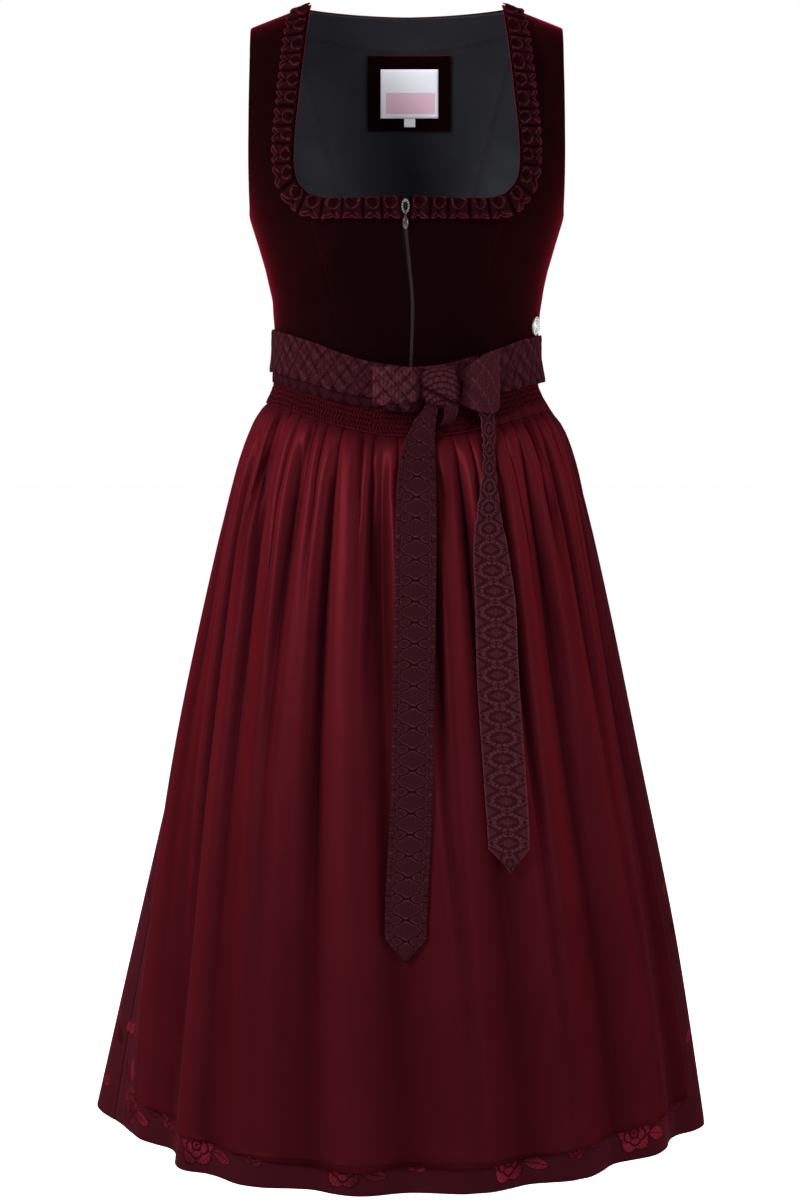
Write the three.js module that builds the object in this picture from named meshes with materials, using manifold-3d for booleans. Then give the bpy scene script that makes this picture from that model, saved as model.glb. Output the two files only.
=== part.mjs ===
// Sleeveless dirndl dress with a tied apron, in the hollow shape it has when worn, with nobody in it.
// Millimetres, +Z up. The front looks towards -Y, and +X is on the right of a viewer in front.
// The origin lies midway between the shoulder straps, at the height of their underside at the neck.
import * as THREE from "three";
import Module from "manifold-3d";

const wasm = await Module();
wasm.setup();

// Cloth thicknesses and gaps
const VELVET = 1.8;
const LINING = 0.9;
const SKIRT_CLOTH = 1.2;
const APRON_CLOTH = 1.2;
const TIE_CLOTH = 1.5;
const BAND_CLOTH = 1.2;
const LABEL_CLOTH = 0.6;
const LABEL_STEP = 14;
const SEAM_GAP = 0.36;
const LAY_GAP = 0.8;
const LINING_GAP = 2.2;
const LABEL_GAP = 1.6;

// Heights
const UNDERARM = -195;
const WAIST_SIDE = -314.6;
const WAIST_FRONT_DIP = 23.5;
const WAIST_TILT = 2.6;
const WAIST_SEAM_BELOW = 3;

// Shoulder line: highest at the neck, falling outwards
const RIDGE_TOP = 27.5;
const RIDGE_SLOPE = 0.4;
const RIDGE_ROUND = 20;
const SHOULDER_NECK_X = 86.5;
const SHOULDER_TIP_X = 141;

// Tie ribbon of the apron
const TIE_WIDTH = 38;
const QUILT_PITCH = 18;
const QUILT_RISE = 0.9;
const BAND_BELOW = 29;
const SMOCK_TOP_BELOW = 14;
const SMOCK_BELOW = 48.6;

// Neck trim of gathered velvet
const TRIM_WIDTH = 20;
const TRIM_MOTIFS = 16;
const TRIM_START_LEFT = 0.01;
const TRIM_START_RIGHT = 0.002;

// Levels of the bodice: 0 at the waist seam, 1 at the underarm, 2 on top of the shoulder.
const TORSO = [
  { level: 0, half: 118.6, front: 86, back: 80 },
  { level: 0.17, half: 120.8, front: 87.5, back: 81.5 },
  { level: 0.4, half: 123, front: 92, back: 84 },
  { level: 0.62, half: 128.5, front: 97, back: 88 },
  { level: 0.82, half: 135.5, front: 101, back: 92 },
  { level: 1, half: 142.3, front: 104, back: 95 },
  { level: 1.1, half: 149, front: 104, back: 96 },
  { level: 1.25, half: 158, front: 104, back: 97 },
  { level: 1.5, half: 168, front: 104, back: 97 },
  { level: 2, half: 178, front: 104, back: 96 },
];
const BUST = { x: 58, z: -208, wide: 38, high: 34, out: 13 };

// Rings of the skirt: height at the side, how far the ring follows the dip of the waistline, half width,
// depth to the front and to the back, shift of the centre, and the rise of gathers, folds and broad folds.
const SKIRT = [
  { row: "seam", z: -317.9, follow: 1, half: 118.7, front: 86, back: 80, centre: 0, gather: 0, fold: 0, broad: 0 },
  { row: "band", z: -343.2, follow: 1, half: 120.2, front: 88.3, back: 83, centre: 1.2, gather: 0, fold: 0, broad: 0 },
  { row: "smock", z: -365, follow: 1, half: 130, front: 97, back: 93, centre: 2, gather: 0.6, fold: 0, broad: 0 },
  { row: "fall 1", z: -383, follow: 0.85, half: 138, front: 105, back: 102, centre: 2.3, gather: 3, fold: 1.2, broad: 0 },
  { row: "fall 2", z: -418, follow: 0.6, half: 149, front: 116, back: 114, centre: 2.3, gather: 2.6, fold: 3.6, broad: 0.5 },
  { row: "fall 3", z: -470, follow: 0.3, half: 163, front: 131, back: 130, centre: 1.6, gather: 1.4, fold: 5.6, broad: 2 },
  { row: "fall 4", z: -560, follow: 0.1, half: 184.5, front: 153, back: 153, centre: 0, gather: 0.4, fold: 6, broad: 4 },
  { row: "fall 5", z: -690, follow: 0, half: 213.5, front: 181, back: 182, centre: -2.5, gather: 0, fold: 4.2, broad: 6.5 },
  { row: "fall 6", z: -850, follow: 0, half: 247, front: 212, back: 214, centre: -3.3, gather: 0, fold: 2.2, broad: 9 },
  { row: "apron hem", z: -1005, follow: 0, half: 275.5, front: 237, back: 242, centre: -7, gather: 0, fold: 1.2, broad: 10.5 },
  { row: "hem", z: -1031, follow: 0, half: 279.5, front: 241, back: 246, centre: -8, gather: 0, fold: 1.2, broad: 11 },
];
const SKIRT_BAND_ROW = 1;
const SMOCK_ROW = 2;
const APRON_HEM_ROW = SKIRT.length - 2;

// Places round the skirt are counted in apron widths: the apron runs from 0 to 1, the rest to ROUND.
const ROUND = 2.1;
const APRON_LEFT_TOP = -95;
const APRON_LEFT_HEM = -72;
const APRON_RIGHT = 76;
const APRON_COLUMNS = 48;
const BACK_COLUMNS = 52;
const SEAM_COLUMN = 3;

// Crests of the folds round the skirt, each with its share of the ring's fold rise
const FOLDS = [
  { at: 0.02, rise: 0.8 }, { at: 0.1, rise: 0.9 }, { at: 0.185, rise: 1.3 }, { at: 0.26, rise: 0.8 },
  { at: 0.345, rise: 1 }, { at: 0.425, rise: 1.3 }, { at: 0.555, rise: 1.2 }, { at: 0.613, rise: 0.9 },
  { at: 0.695, rise: 0.9 }, { at: 0.75, rise: 1.2 }, { at: 0.85, rise: 1 }, { at: 0.94, rise: 0.9 },
  { at: 1.02, rise: 0.8 }, { at: 1.11, rise: 1.1 }, { at: 1.2, rise: 0.9 }, { at: 1.27, rise: 1.2 },
  { at: 1.37, rise: 1 }, { at: 1.46, rise: 1.2 }, { at: 1.53, rise: 0.8 }, { at: 1.63, rise: 1.1 },
  { at: 1.72, rise: 1.2 }, { at: 1.8, rise: 0.8 }, { at: 1.9, rise: 1.1 }, { at: 1.98, rise: 0.9 },
];
const BROAD_FOLDS = [
  { at: 0.05, rise: 0.6 }, { at: 0.185, rise: 0.5 }, { at: 0.3, rise: 0.4 }, { at: 0.437, rise: 0.5 },
  { at: 0.584, rise: 0.4 }, { at: 0.726, rise: 0.5 }, { at: 0.88, rise: 0.5 }, { at: 1.03, rise: 0.9 },
  { at: 1.19, rise: 0.9 }, { at: 1.36, rise: 1.2 }, { at: 1.5, rise: 0.8 }, { at: 1.66, rise: 1.1 },
  { at: 1.81, rise: 0.9 }, { at: 1.96, rise: 1 },
];
// Where the worn skirt falls in towards the hem, beside the side folds
const HOLLOWS = [
  { angle: -62, wide: 16, deep: 34 },
  { angle: 52, wide: 20, deep: 9 },
];
const HOLLOW_TOP = -480;

// Edges of the bodice panels, as x and z seen from the front
const NECK_EDGE = [
  { x: 3.4, z: -174.6 }, { x: 20, z: -175.6 }, { x: 45, z: -176.8 }, { x: 70, z: -176.4 }, { x: 86, z: -172.5 },
  { x: 96.5, z: -162 }, { x: 100.5, z: -146 }, { x: 99.6, z: -118 }, { x: 96.3, z: -88 }, { x: 92.8, z: -56 },
  { x: 89.3, z: -25 }, { x: SHOULDER_NECK_X, z: 0 },
];
const NECK_CORNER = 4;
const NECK_MIDDLE_Z = -100;
const ZIP_LINE = [
  { z: -350, x: 3.4 }, { z: -322, x: 3.8 }, { z: -285, x: 5 }, { z: -261, x: 4.8 }, { z: -225, x: 1.4 },
  { z: -200, x: -0.8 }, { z: -170, x: -1.5 },
];
const ZIP_HALF = 2;
const ZIP_EDGE = 2.9;
const BUST_SEAM = [
  { x: 60, z: -341 }, { x: 61.5, z: -312 }, { x: 64, z: -285 }, { x: 68.5, z: -255 }, { x: 76, z: -228 },
  { x: 83, z: -200 }, { x: 86, z: -172.5 },
];
const ARMHOLE = [
  { x: 142.6, z: -184 }, { x: 142.6, z: -165 }, { x: 142.5, z: -142 }, { x: 142, z: -115 }, { x: 141.5, z: -85 },
  { x: 141, z: -58 }, { x: 141, z: -38 }, { x: 141, z: -26 }, { x: SHOULDER_TIP_X, z: -21 },
];
const SIDE_SEAM_ROWS = 5;
const BACK_SEAM = [
  { x: 38, z: -317 }, { x: 39, z: -285 }, { x: 41, z: -250 }, { x: 45, z: -215 }, { x: 53, z: -180 },
  { x: 65, z: -146 }, { x: 82, z: -112 }, { x: 104, z: -82 }, { x: 137.5, z: -61 },
];
const BACK_SEAM_ROWS = 9;
const BACK_STRAP_ROWS = [-47, -36, -28, -23];
const LINING_EDGE_X = 137.5;
const BACK_NECK_DROP = 7;

const radians = THREE.MathUtils.degToRad;
const mix = THREE.MathUtils.lerp;
const clamp = THREE.MathUtils.clamp;
const point = (x, y, z) => new THREE.Vector3(x, y, z);

const velvet = new THREE.MeshStandardMaterial({ color: 0x3a060d, roughness: 0.9, metalness: 0 });
const jacquard = new THREE.MeshStandardMaterial({ color: 0x4d1420, roughness: 0.6, metalness: 0 });
const satin = new THREE.MeshStandardMaterial({ color: 0x560f1a, roughness: 0.45, metalness: 0 });
const quilted = new THREE.MeshStandardMaterial({ color: 0x4a1a25, roughness: 0.75, metalness: 0 });
const darkLining = new THREE.MeshStandardMaterial({ color: 0x1b1c20, roughness: 0.6, metalness: 0 });
const whiteLabel = new THREE.MeshStandardMaterial({ color: 0xd9d9e2, roughness: 0.5, metalness: 0 });
const zipCoil = new THREE.MeshStandardMaterial({ color: 0x3b2a2e, roughness: 0.6, metalness: 0 });
const lacquer = new THREE.MeshStandardMaterial({ color: 0x6a4f58, roughness: 0.35, metalness: 0.8 });
const silver = new THREE.MeshStandardMaterial({ color: 0xb9bbb4, roughness: 0.35, metalness: 0.9 });

const dress = new THREE.Group();

function add(name, geometry, material) {
  const mesh = new THREE.Mesh(geometry, material);
  mesh.name = name;
  dress.add(mesh);
  return mesh;
}

// Value of every numeric column of a table at a place along its key column, on a smooth curve.
function along(table, key, value) {
  const up = table[table.length - 1][key] > table[0][key];
  let i = 0;
  while (i < table.length - 2 && (up ? value > table[i + 1][key] : value < table[i + 1][key])) i += 1;
  const t = clamp((value - table[i][key]) / (table[i + 1][key] - table[i][key]), 0, 1);
  const before = table[Math.max(i - 1, 0)];
  const after = table[Math.min(i + 2, table.length - 1)];
  const found = {};
  for (const name of Object.keys(table[i])) {
    if (typeof table[i][name] !== "number") continue;
    const [a, b, c, d] = [before[name], table[i][name], table[i + 1][name], after[name]];
    found[name] = b + 0.5 * t * (c - a + t * (2 * a - 5 * b + 4 * c - d + t * (3 * (b - c) + d - a)));
  }
  return found;
}

// Closed mesh from points and triangles, turned so that its faces point outwards.
function closedMesh(points, triangles) {
  const volume = triangles.reduce(
    (sum, [a, b, c]) => sum + points[a].dot(points[b].clone().cross(points[c])),
    0,
  );
  const index = volume < 0 ? triangles.map(([a, b, c]) => [a, c, b]) : triangles;
  const geometry = new THREE.BufferGeometry().setFromPoints(points);
  geometry.setIndex(index.flat());
  geometry.computeVertexNormals();
  return geometry;
}

// Wall between an outer grid of points and an inner one with as many rows, and as many columns or only two.
function wall(outer, inner) {
  const rows = outer.length;
  const wide = outer[0].length;
  const innerWide = inner[0].length;
  const points = [...outer.flat(), ...inner.flat()];
  const o = (r, c) => r * wide + c;
  const i = (r, c) => rows * wide + r * innerWide + c;
  const triangles = [];
  const quad = (a, b, c, d) => triangles.push([a, b, c], [a, c, d]);
  for (let r = 0; r < rows - 1; r += 1) {
    for (let c = 0; c < wide - 1; c += 1) quad(o(r, c), o(r, c + 1), o(r + 1, c + 1), o(r + 1, c));
    for (let c = 0; c < innerWide - 1; c += 1) quad(i(r, c), i(r + 1, c), i(r + 1, c + 1), i(r, c + 1));
    quad(o(r, 0), o(r + 1, 0), i(r + 1, 0), i(r, 0));
    quad(o(r + 1, wide - 1), o(r, wide - 1), i(r, innerWide - 1), i(r + 1, innerWide - 1));
  }
  for (const r of [0, rows - 1]) {
    const turn = (a, b, c) => triangles.push(r === 0 ? [a, b, c] : [a, c, b]);
    if (innerWide === wide) {
      for (let c = 0; c < wide - 1; c += 1) {
        turn(o(r, c), i(r, c), i(r, c + 1));
        turn(o(r, c), i(r, c + 1), o(r, c + 1));
      }
    } else {
      turn(o(r, 0), i(r, 0), i(r, 1));
      for (let c = 0; c < wide - 1; c += 1) turn(o(r, c), i(r, 1), o(r, c + 1));
    }
  }
  return closedMesh(points, triangles);
}

// Unit normals of a grid of points, pointing away from the given centre line.
function normals(grid, axisPoint = (p) => point(0, 0, p.z)) {
  const rows = grid.length;
  const wide = grid[0].length;
  return grid.map((line, r) =>
    line.map((p, c) => {
      const across = grid[r][Math.min(c + 1, wide - 1)].clone().sub(grid[r][Math.max(c - 1, 0)]);
      const up = grid[Math.min(r + 1, rows - 1)][c].clone().sub(grid[Math.max(r - 1, 0)][c]);
      const n = across.cross(up).normalize();
      return n.dot(p.clone().sub(axisPoint(p))) < 0 ? n.negate() : n;
    }),
  );
}

const moved = (grid, directions, by) =>
  grid.map((line, r) => line.map((p, c) => p.clone().addScaledVector(directions[r][c], by)));

// Height of the waistline at an angle round the body, 0 at the centre front and positive towards +X.
function waistline(angle) {
  const front = Math.max(Math.cos(radians(angle)), 0);
  return WAIST_SIDE - WAIST_FRONT_DIP * front ** 3 - WAIST_TILT * Math.sin(radians(angle));
}

const ridge = (x) => RIDGE_TOP - RIDGE_SLOPE * (Math.hypot(x, RIDGE_ROUND) - RIDGE_ROUND);

// Point of the bodice's outer side. Facing is -1 on the front and 1 on the back; angle is from its centre.
function torso(angle, level, facing) {
  const form = along(TORSO, "level", level);
  const a = radians(angle);
  const x = form.half * Math.sin(a);
  let depth = (facing < 0 ? form.front : form.back) * Math.cos(a);
  let z;
  if (level <= 1) {
    z = mix(waistline(facing < 0 ? angle : 180 - angle) - WAIST_SEAM_BELOW, UNDERARM, level);
  } else {
    const arch = radians(90 * (level - 1));
    z = mix(UNDERARM, ridge(x), Math.sin(arch));
    depth *= Math.cos(arch);
  }
  if (facing < 0) {
    const across = (Math.abs(x) - BUST.x) / BUST.wide;
    const up = (z - BUST.z) / BUST.high;
    depth += BUST.out * Math.exp(-across * across - up * up) * Math.cos(a);
  }
  return point(x, facing * depth, z);
}

// Direction straight out of the bodice's outer side.
function torsoNormal(angle, level, facing) {
  const low = clamp(level - 0.01, 0, 1.97);
  const up = torso(angle, low + 0.02, facing).sub(torso(angle, low, facing));
  const held = Math.min(level, 1.985);
  const across = torso(angle + 0.5, held, facing).sub(torso(angle - 0.5, held, facing));
  return across.cross(up).normalize().multiplyScalar(-facing);
}

// Angle and level of the bodice point that is seen at x and z.
function torsoPlace(x, z, facing) {
  let level = 1;
  let angle = 0;
  for (let step = 0; step < 12; step += 1) {
    const half = along(TORSO, "level", level).half;
    angle = (Math.asin(clamp(x / half, -1, 1)) * 180) / Math.PI;
    const seam = waistline(facing < 0 ? angle : 180 - angle) - WAIST_SEAM_BELOW;
    const rise = (z - UNDERARM) / (ridge(x) - UNDERARM);
    level = z <= UNDERARM ? (z - seam) / (UNDERARM - seam) : 1 + (Math.asin(clamp(rise, 0, 1)) * 2) / Math.PI;
    level = clamp(level, 0, 2);
  }
  return { angle, level };
}

const resample = (line, count) => {
  const curve = new THREE.CatmullRomCurve3(line.map(({ x, z }) => point(x, 0, z)));
  return Array.from({ length: count }, (_, k) => curve.getPoint(k / (count - 1)));
};

// Side edge of the body: the side seam up to the underarm, then the armhole up to the shoulder tip.
function outerEdge(side, facing, armholeRows) {
  const seam = Array.from({ length: SIDE_SEAM_ROWS }, (_, k) => ({ angle: 90 * side, level: k / SIDE_SEAM_ROWS }));
  const hole = resample(ARMHOLE, armholeRows).map((p) => torsoPlace(p.x * side, p.z, facing));
  return [...seam, { angle: 89 * side, level: 1 }, ...hole];
}

// Bodice panel: rows that run from one edge to the other, both given as angles and levels.
function bodicePanel(name, from, to, columns, facing, meetsShoulder) {
  const shrink = SEAM_GAP / 2;
  const places = from.map((start, r) =>
    Array.from({ length: columns + 1 }, (_, c) => ({
      angle: mix(start.angle, to[r].angle, c / columns),
      level: mix(start.level, to[r].level, c / columns),
    })),
  );
  const outer = places.map((line) => line.map((place) => torso(place.angle, place.level, facing)));
  for (const line of outer) {
    const inward = line[columns].clone().sub(line[0]).setLength(shrink);
    line[0].add(inward);
    line[columns].sub(inward);
  }
  if (meetsShoulder) outer[outer.length - 1].forEach((p) => (p.y += facing * shrink));
  const n = places.map((line) => line.map((place) => torsoNormal(place.angle, place.level, facing)));
  add(name, wall(outer, moved(outer, n, -VELVET)), velvet);
}

function zipX(z) {
  return along(ZIP_LINE, "z", z).x;
}

// Centre front panel, from the zip to the bust seam. Side is 1 on the viewer's right.
function frontCentre(name, side) {
  const columns = 5;
  const waistZ = BUST_SEAM[0].z;
  const topRow = BUST_SEAM.length - 1;
  const zipEdge = (z) => zipX(z) + side * ZIP_EDGE;
  const places = BUST_SEAM.map((p, r) => {
    const seamX = side * (p.x - SEAM_GAP / 2);
    const seam = torsoPlace(seamX, p.z, -1);
    const start = torsoPlace(zipEdge(r === 0 ? waistZ : p.z), p.z, -1);
    return Array.from({ length: columns + 1 }, (_, c) => {
      const t = c / columns;
      if (r < topRow) return { angle: mix(start.angle, seam.angle, t), level: r === 0 ? 0 : seam.level };
      const x = mix(zipEdge(NECK_EDGE[0].z), seamX, t);
      return torsoPlace(x, along(NECK_EDGE.slice(0, NECK_CORNER + 1), "x", Math.abs(x)).z, -1);
    });
  });
  const outer = places.map((line) => line.map((place) => torso(place.angle, place.level, -1)));
  const n = places.map((line) => line.map((place) => torsoNormal(place.angle, place.level, -1)));
  add(name, wall(outer, moved(outer, n, -VELVET)), velvet);
}

// Side front panel with its strap: bust seam and neck edge on one side, side seam and armhole on the other.
function frontSide(name, side) {
  const seam = BUST_SEAM.slice(0, -1).map((p) => torsoPlace(side * p.x, p.z, -1));
  const neck = resample(NECK_EDGE.slice(NECK_CORNER), ARMHOLE.length).map((p) => torsoPlace(side * p.x, p.z, -1));
  const from = [...seam, ...neck];
  from[0].level = 0;
  from[from.length - 1].level = 2;
  const to = outerEdge(side, -1, ARMHOLE.length);
  to[to.length - 1].level = 2;
  bodicePanel(name, from, to, 6, -1, true);
}

// Side back panel, from the curved back seam to the side seam and the lower armhole.
function backSide(name, side) {
  const from = resample(BACK_SEAM, BACK_SEAM_ROWS).map((p) => torsoPlace(side * p.x, p.z, 1));
  from[0].level = 0;
  const seam = Array.from({ length: 4 }, (_, k) => ({ angle: 90 * side, level: k / 4 }));
  const hole = resample(ARMHOLE.slice(0, 6), 4).map((p) => torsoPlace(side * p.x, p.z, 1));
  const to = [...seam, { angle: 89 * side, level: 1 }, ...hole];
  bodicePanel(name, from, to, 6, 1, false);
}

const backNeckZ = (x) => -BACK_NECK_DROP * (1 - (Math.abs(x) / SHOULDER_NECK_X) ** 1.4);

// Level of the back's top edge at x: the neckline between the straps, the shoulder seam outside them.
function backTopLevel(x) {
  return Math.abs(x) >= SHOULDER_NECK_X - 0.5 ? 2 : torsoPlace(x, backNeckZ(x), 1).level;
}

// Places on the back between both side edges, given as angles and levels from the waist to the shoulder tip.
function backPlaces(edge, columns, inset) {
  const top = edge[edge.length - 1];
  return edge.map((place) =>
    Array.from({ length: columns + 1 }, (_, c) => {
      const share = (2 * c) / columns - 1;
      const highest = backTopLevel((SHOULDER_TIP_X - inset) * share);
      return { angle: place.angle * share, level: (place.level / top.level) * highest };
    }),
  );
}

function backCentre() {
  const seam = resample(BACK_SEAM, BACK_SEAM_ROWS).map((p) => torsoPlace(p.x - SEAM_GAP / 2, p.z, 1));
  seam[0].level = 0;
  const strap = BACK_STRAP_ROWS.map((z) => torsoPlace(SHOULDER_TIP_X, z, 1));
  const tip = torsoPlace(SHOULDER_TIP_X, ridge(SHOULDER_TIP_X), 1);
  tip.level = 2;
  const places = backPlaces([...seam, ...strap, tip], 14, 0);
  const outer = places.map((line) => line.map((place) => torso(place.angle, place.level, 1)));
  outer[outer.length - 1].forEach((p) => (p.y += SEAM_GAP / 2));
  const n = places.map((line) => line.map((place) => torsoNormal(place.angle, place.level, 1)));
  add("bodice_back_centre", wall(outer, moved(outer, n, -VELVET)), velvet);
}

// Levels of the rows of points on the back, from the waist seam to the shoulder seam.
function backLevels() {
  const seam = resample(BACK_SEAM, BACK_SEAM_ROWS).slice(1).map((p) => torsoPlace(p.x, p.z, 1).level);
  return [0, ...seam, ...BACK_STRAP_ROWS.map((z) => torsoPlace(SHOULDER_TIP_X, z, 1).level), 2];
}

function backLining() {
  const edge = backLevels().map((level) => {
    const reach = LINING_EDGE_X / along(TORSO, "level", level).half;
    return { angle: level < 1 ? 88 : (Math.asin(Math.min(reach, 1)) * 180) / Math.PI, level };
  });
  const places = backPlaces(edge, 16, SHOULDER_TIP_X - LINING_EDGE_X);
  places[0].forEach((place) => (place.level = 0.02));
  places[places.length - 1].forEach((place) => (place.level -= 0.02));
  const surface = places.map((line) => line.map((place) => torso(place.angle, place.level, 1)));
  const n = places.map((line) => line.map((place) => torsoNormal(place.angle, place.level, 1)));
  const outer = moved(surface, n, -(VELVET + LINING_GAP));
  add("back_lining", wall(outer, moved(surface, n, -(VELVET + LINING_GAP + LINING))), darkLining);
}

// Flat label lying on the lining inside the back, given by its edges seen from the front.
function backLabel(name, box, depth, thickness, material) {
  const columns = Math.ceil((box.right - box.left) / LABEL_STEP);
  const rows = Math.ceil((box.high - box.low) / LABEL_STEP);
  const face = (inside) =>
    Array.from({ length: rows + 1 }, (_, r) =>
      Array.from({ length: columns + 1 }, (__, c) => {
        const x = mix(box.left, box.right, c / columns);
        const place = torsoPlace(x, mix(box.low, box.high, r / rows), 1);
        const n = torsoNormal(place.angle, place.level, 1);
        return torso(place.angle, place.level, 1).addScaledVector(n, -inside);
      }),
    );
  add(name, wall(face(depth), face(depth + thickness)), material);
}

// Fold height at a place round the skirt, from a table of crests.
function crests(table, at) {
  const place = ((at % ROUND) + ROUND) % ROUND;
  let i = table.findLastIndex((crest) => crest.at <= place);
  if (i < 0) i = table.length - 1;
  const here = table[i];
  const next = table[(i + 1) % table.length];
  const gap = (((next.at - here.at) % ROUND) + ROUND) % ROUND;
  const t = ((((place - here.at) % ROUND) + ROUND) % ROUND) / gap;
  return mix(here.rise, next.rise, t) * Math.cos(2 * Math.PI * t);
}

// Place round the skirt of a column: whole numbers fall on the crests and troughs of the gathers.
const columnPlace = (column) =>
  column <= APRON_COLUMNS ? column / APRON_COLUMNS : 1 + ((column - APRON_COLUMNS) * (ROUND - 1)) / BACK_COLUMNS;

// Angle round the body of a place round the skirt, at a share of the way down to the hem.
function skirtAngle(place, down) {
  const left = mix(APRON_LEFT_TOP, APRON_LEFT_HEM, down);
  const round = ((place % ROUND) + ROUND) % ROUND;
  if (round <= 1) return mix(left, APRON_RIGHT, round);
  const angle = mix(APRON_RIGHT, left + 360, (round - 1) / (ROUND - 1));
  return place < 0 ? angle - 360 : angle;
}

function hollow(angle, z) {
  const turned = ((((angle + 180) % 360) + 360) % 360) - 180;
  const down = clamp((z - HOLLOW_TOP) / (SKIRT[SKIRT.length - 1].z - HOLLOW_TOP), 0, 1);
  return HOLLOWS.reduce(
    (sum, dent) => sum - dent.deep * down * Math.exp(-(((turned - dent.angle) / dent.wide) ** 2)),
    0,
  );
}

// Point of the skirt's outer side on one of its rings.
function skirtPoint(column, ring) {
  const place = columnPlace(column);
  const down = clamp((ring.z - WAIST_SIDE) / (SKIRT[SKIRT.length - 1].z - WAIST_SIDE), 0, 1);
  const angle = skirtAngle(place, down);
  const a = radians(angle);
  const depth = Math.cos(a) > 0 ? ring.front : ring.back;
  const gather = Math.cos(Math.PI * column) * ring.gather;
  const out = gather + ring.fold * crests(FOLDS, place) + ring.broad * crests(BROAD_FOLDS, place) + hollow(angle, ring.z);
  const n = point(depth * Math.sin(a), -ring.half * Math.cos(a), 0).normalize();
  const z = ring.z + ring.follow * (waistline(angle) - WAIST_SIDE);
  return point(ring.centre + ring.half * Math.sin(a), -depth * Math.cos(a), z).addScaledVector(n, out);
}

// Grid of the skirt's outer side between two columns and two rings, both whole numbers.
function skirtGrid(firstColumn, lastColumn, firstRow, lastRow) {
  const grid = [];
  for (let r = lastRow; r >= firstRow; r -= 1) {
    const line = [];
    for (let c = firstColumn; c <= lastColumn; c += 1) line.push(skirtPoint(c, SKIRT[r]));
    grid.push(line);
  }
  return grid;
}

// Normals of the skirt at its own columns, so that what lies on it stays parallel to it.
function skirtNormals(firstColumn, lastColumn, firstRow, lastRow) {
  const rowLow = Math.max(firstRow - 1, 0);
  const rowHigh = Math.min(lastRow + 1, SKIRT.length - 1);
  const all = normals(skirtGrid(firstColumn - 1, lastColumn + 1, rowLow, rowHigh));
  const skip = rowHigh - lastRow;
  return all.slice(skip, skip + lastRow - firstRow + 1).map((line) => line.slice(1, -1));
}

function skirtPanel(name, firstColumn, lastColumn) {
  const outer = skirtGrid(firstColumn, lastColumn, 0, SKIRT.length - 1);
  const n = skirtNormals(firstColumn, lastColumn, 0, SKIRT.length - 1);
  const last = outer[0].length - 1;
  for (const line of outer) {
    const step = line[last].clone().sub(line[last - 1]).setLength(SEAM_GAP / 2);
    line[last].sub(step);
    const first = line[1].clone().sub(line[0]).setLength(SEAM_GAP / 2);
    line[0].add(first);
  }
  add(name, wall(outer, moved(outer, n, -SKIRT_CLOTH)), jacquard);
}

function apronPanel() {
  const base = skirtGrid(0, APRON_COLUMNS, SMOCK_ROW, APRON_HEM_ROW);
  const n = skirtNormals(0, APRON_COLUMNS, SMOCK_ROW, APRON_HEM_ROW);
  const inner = moved(base, n, LAY_GAP);
  add("apron", wall(moved(base, n, LAY_GAP + APRON_CLOTH), inner), satin);
}

// Ring at the waist, at a height from the waistline, standing off the dress by a distance.
function waistPoint(angle, above, off) {
  const low = SKIRT[SKIRT_BAND_ROW];
  const seam = SKIRT[0];
  const high = along(TORSO, "level", 0.17);
  const highAbove = 22;
  const seamAbove = -WAIST_SEAM_BELOW;
  const lowAbove = low.z - WAIST_SIDE;
  const smock = SKIRT[SMOCK_ROW];
  const smockAbove = smock.z - WAIST_SIDE;
  const between = (a, b, t) => ({
    half: mix(a.half, b.half, t),
    front: mix(a.front, b.front, t),
    back: mix(a.back, b.back, t),
    centre: mix(a.centre ?? 0, b.centre ?? 0, t),
  });
  let ring;
  if (above >= seamAbove) ring = between(seam, high, (above - seamAbove) / (highAbove - seamAbove));
  else if (above >= lowAbove) ring = between(seam, low, (above - seamAbove) / (lowAbove - seamAbove));
  else ring = between(low, smock, (above - lowAbove) / (smockAbove - lowAbove));
  const a = radians(angle);
  const depth = Math.cos(a) > 0 ? ring.front : ring.back;
  return point(
    ring.centre + (ring.half + off) * Math.sin(a),
    -(depth + off) * Math.cos(a),
    waistline(angle) + above,
  );
}

// Smocked top of the apron: fine ribs that run down from the waistband.
function smocking() {
  const columns = 120;
  const levels = [
    { above: -SMOCK_BELOW + SEAM_GAP, thick: 1.5, rib: 0.7 },
    { above: SKIRT[SKIRT_BAND_ROW].z - WAIST_SIDE, thick: 1.3, rib: 0.7 },
    { above: -SMOCK_TOP_BELOW, thick: 1, rib: 0.1 },
  ];
  const line = (level, off) =>
    Array.from({ length: columns + 1 }, (_, c) => {
      const angle = mix(APRON_LEFT_TOP, APRON_RIGHT, c / columns);
      const rib = off ? level.rib * Math.cos(Math.PI * c) : 0;
      return waistPoint(angle, level.above, LAY_GAP + (off ? level.thick + rib : 0));
    });
  add("apron_smocking", wall(levels.map((l) => line(l, true)), levels.map((l) => line(l, false))), satin);
}

// Sewn waistband of the apron, whose lower edge shows below the tie.
function waistband() {
  const levels = [
    { above: -BAND_BELOW, off: 3.2 },
    { above: -SMOCK_TOP_BELOW, off: 2.7 },
    { above: TIE_WIDTH - BAND_BELOW, off: 0.4 },
  ];
  const columns = 40;
  const line = (level, extra) =>
    Array.from({ length: columns + 1 }, (_, c) =>
      waistPoint(mix(APRON_LEFT_TOP, APRON_RIGHT, c / columns), level.above, level.off + extra),
    );
  const grid = (extra) => levels.map((level) => line(level, extra));
  add("apron_waistband", wall(grid(BAND_CLOTH), grid(0)), quilted);
}

// Quilted diamonds on a tie: raised on every second point, in rows along and across.
const quiltRise = (alongIndex, acrossIndex) => ((alongIndex + acrossIndex) % 2 === 0 ? QUILT_RISE : 0);

const KNOT = { left: 11.5, right: 46.5, top: -329, low: -356, back: -97.2, front: -112.5 };
const SASH_END_ANGLE = 32;
const SASH_OPEN = 1.2;

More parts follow.
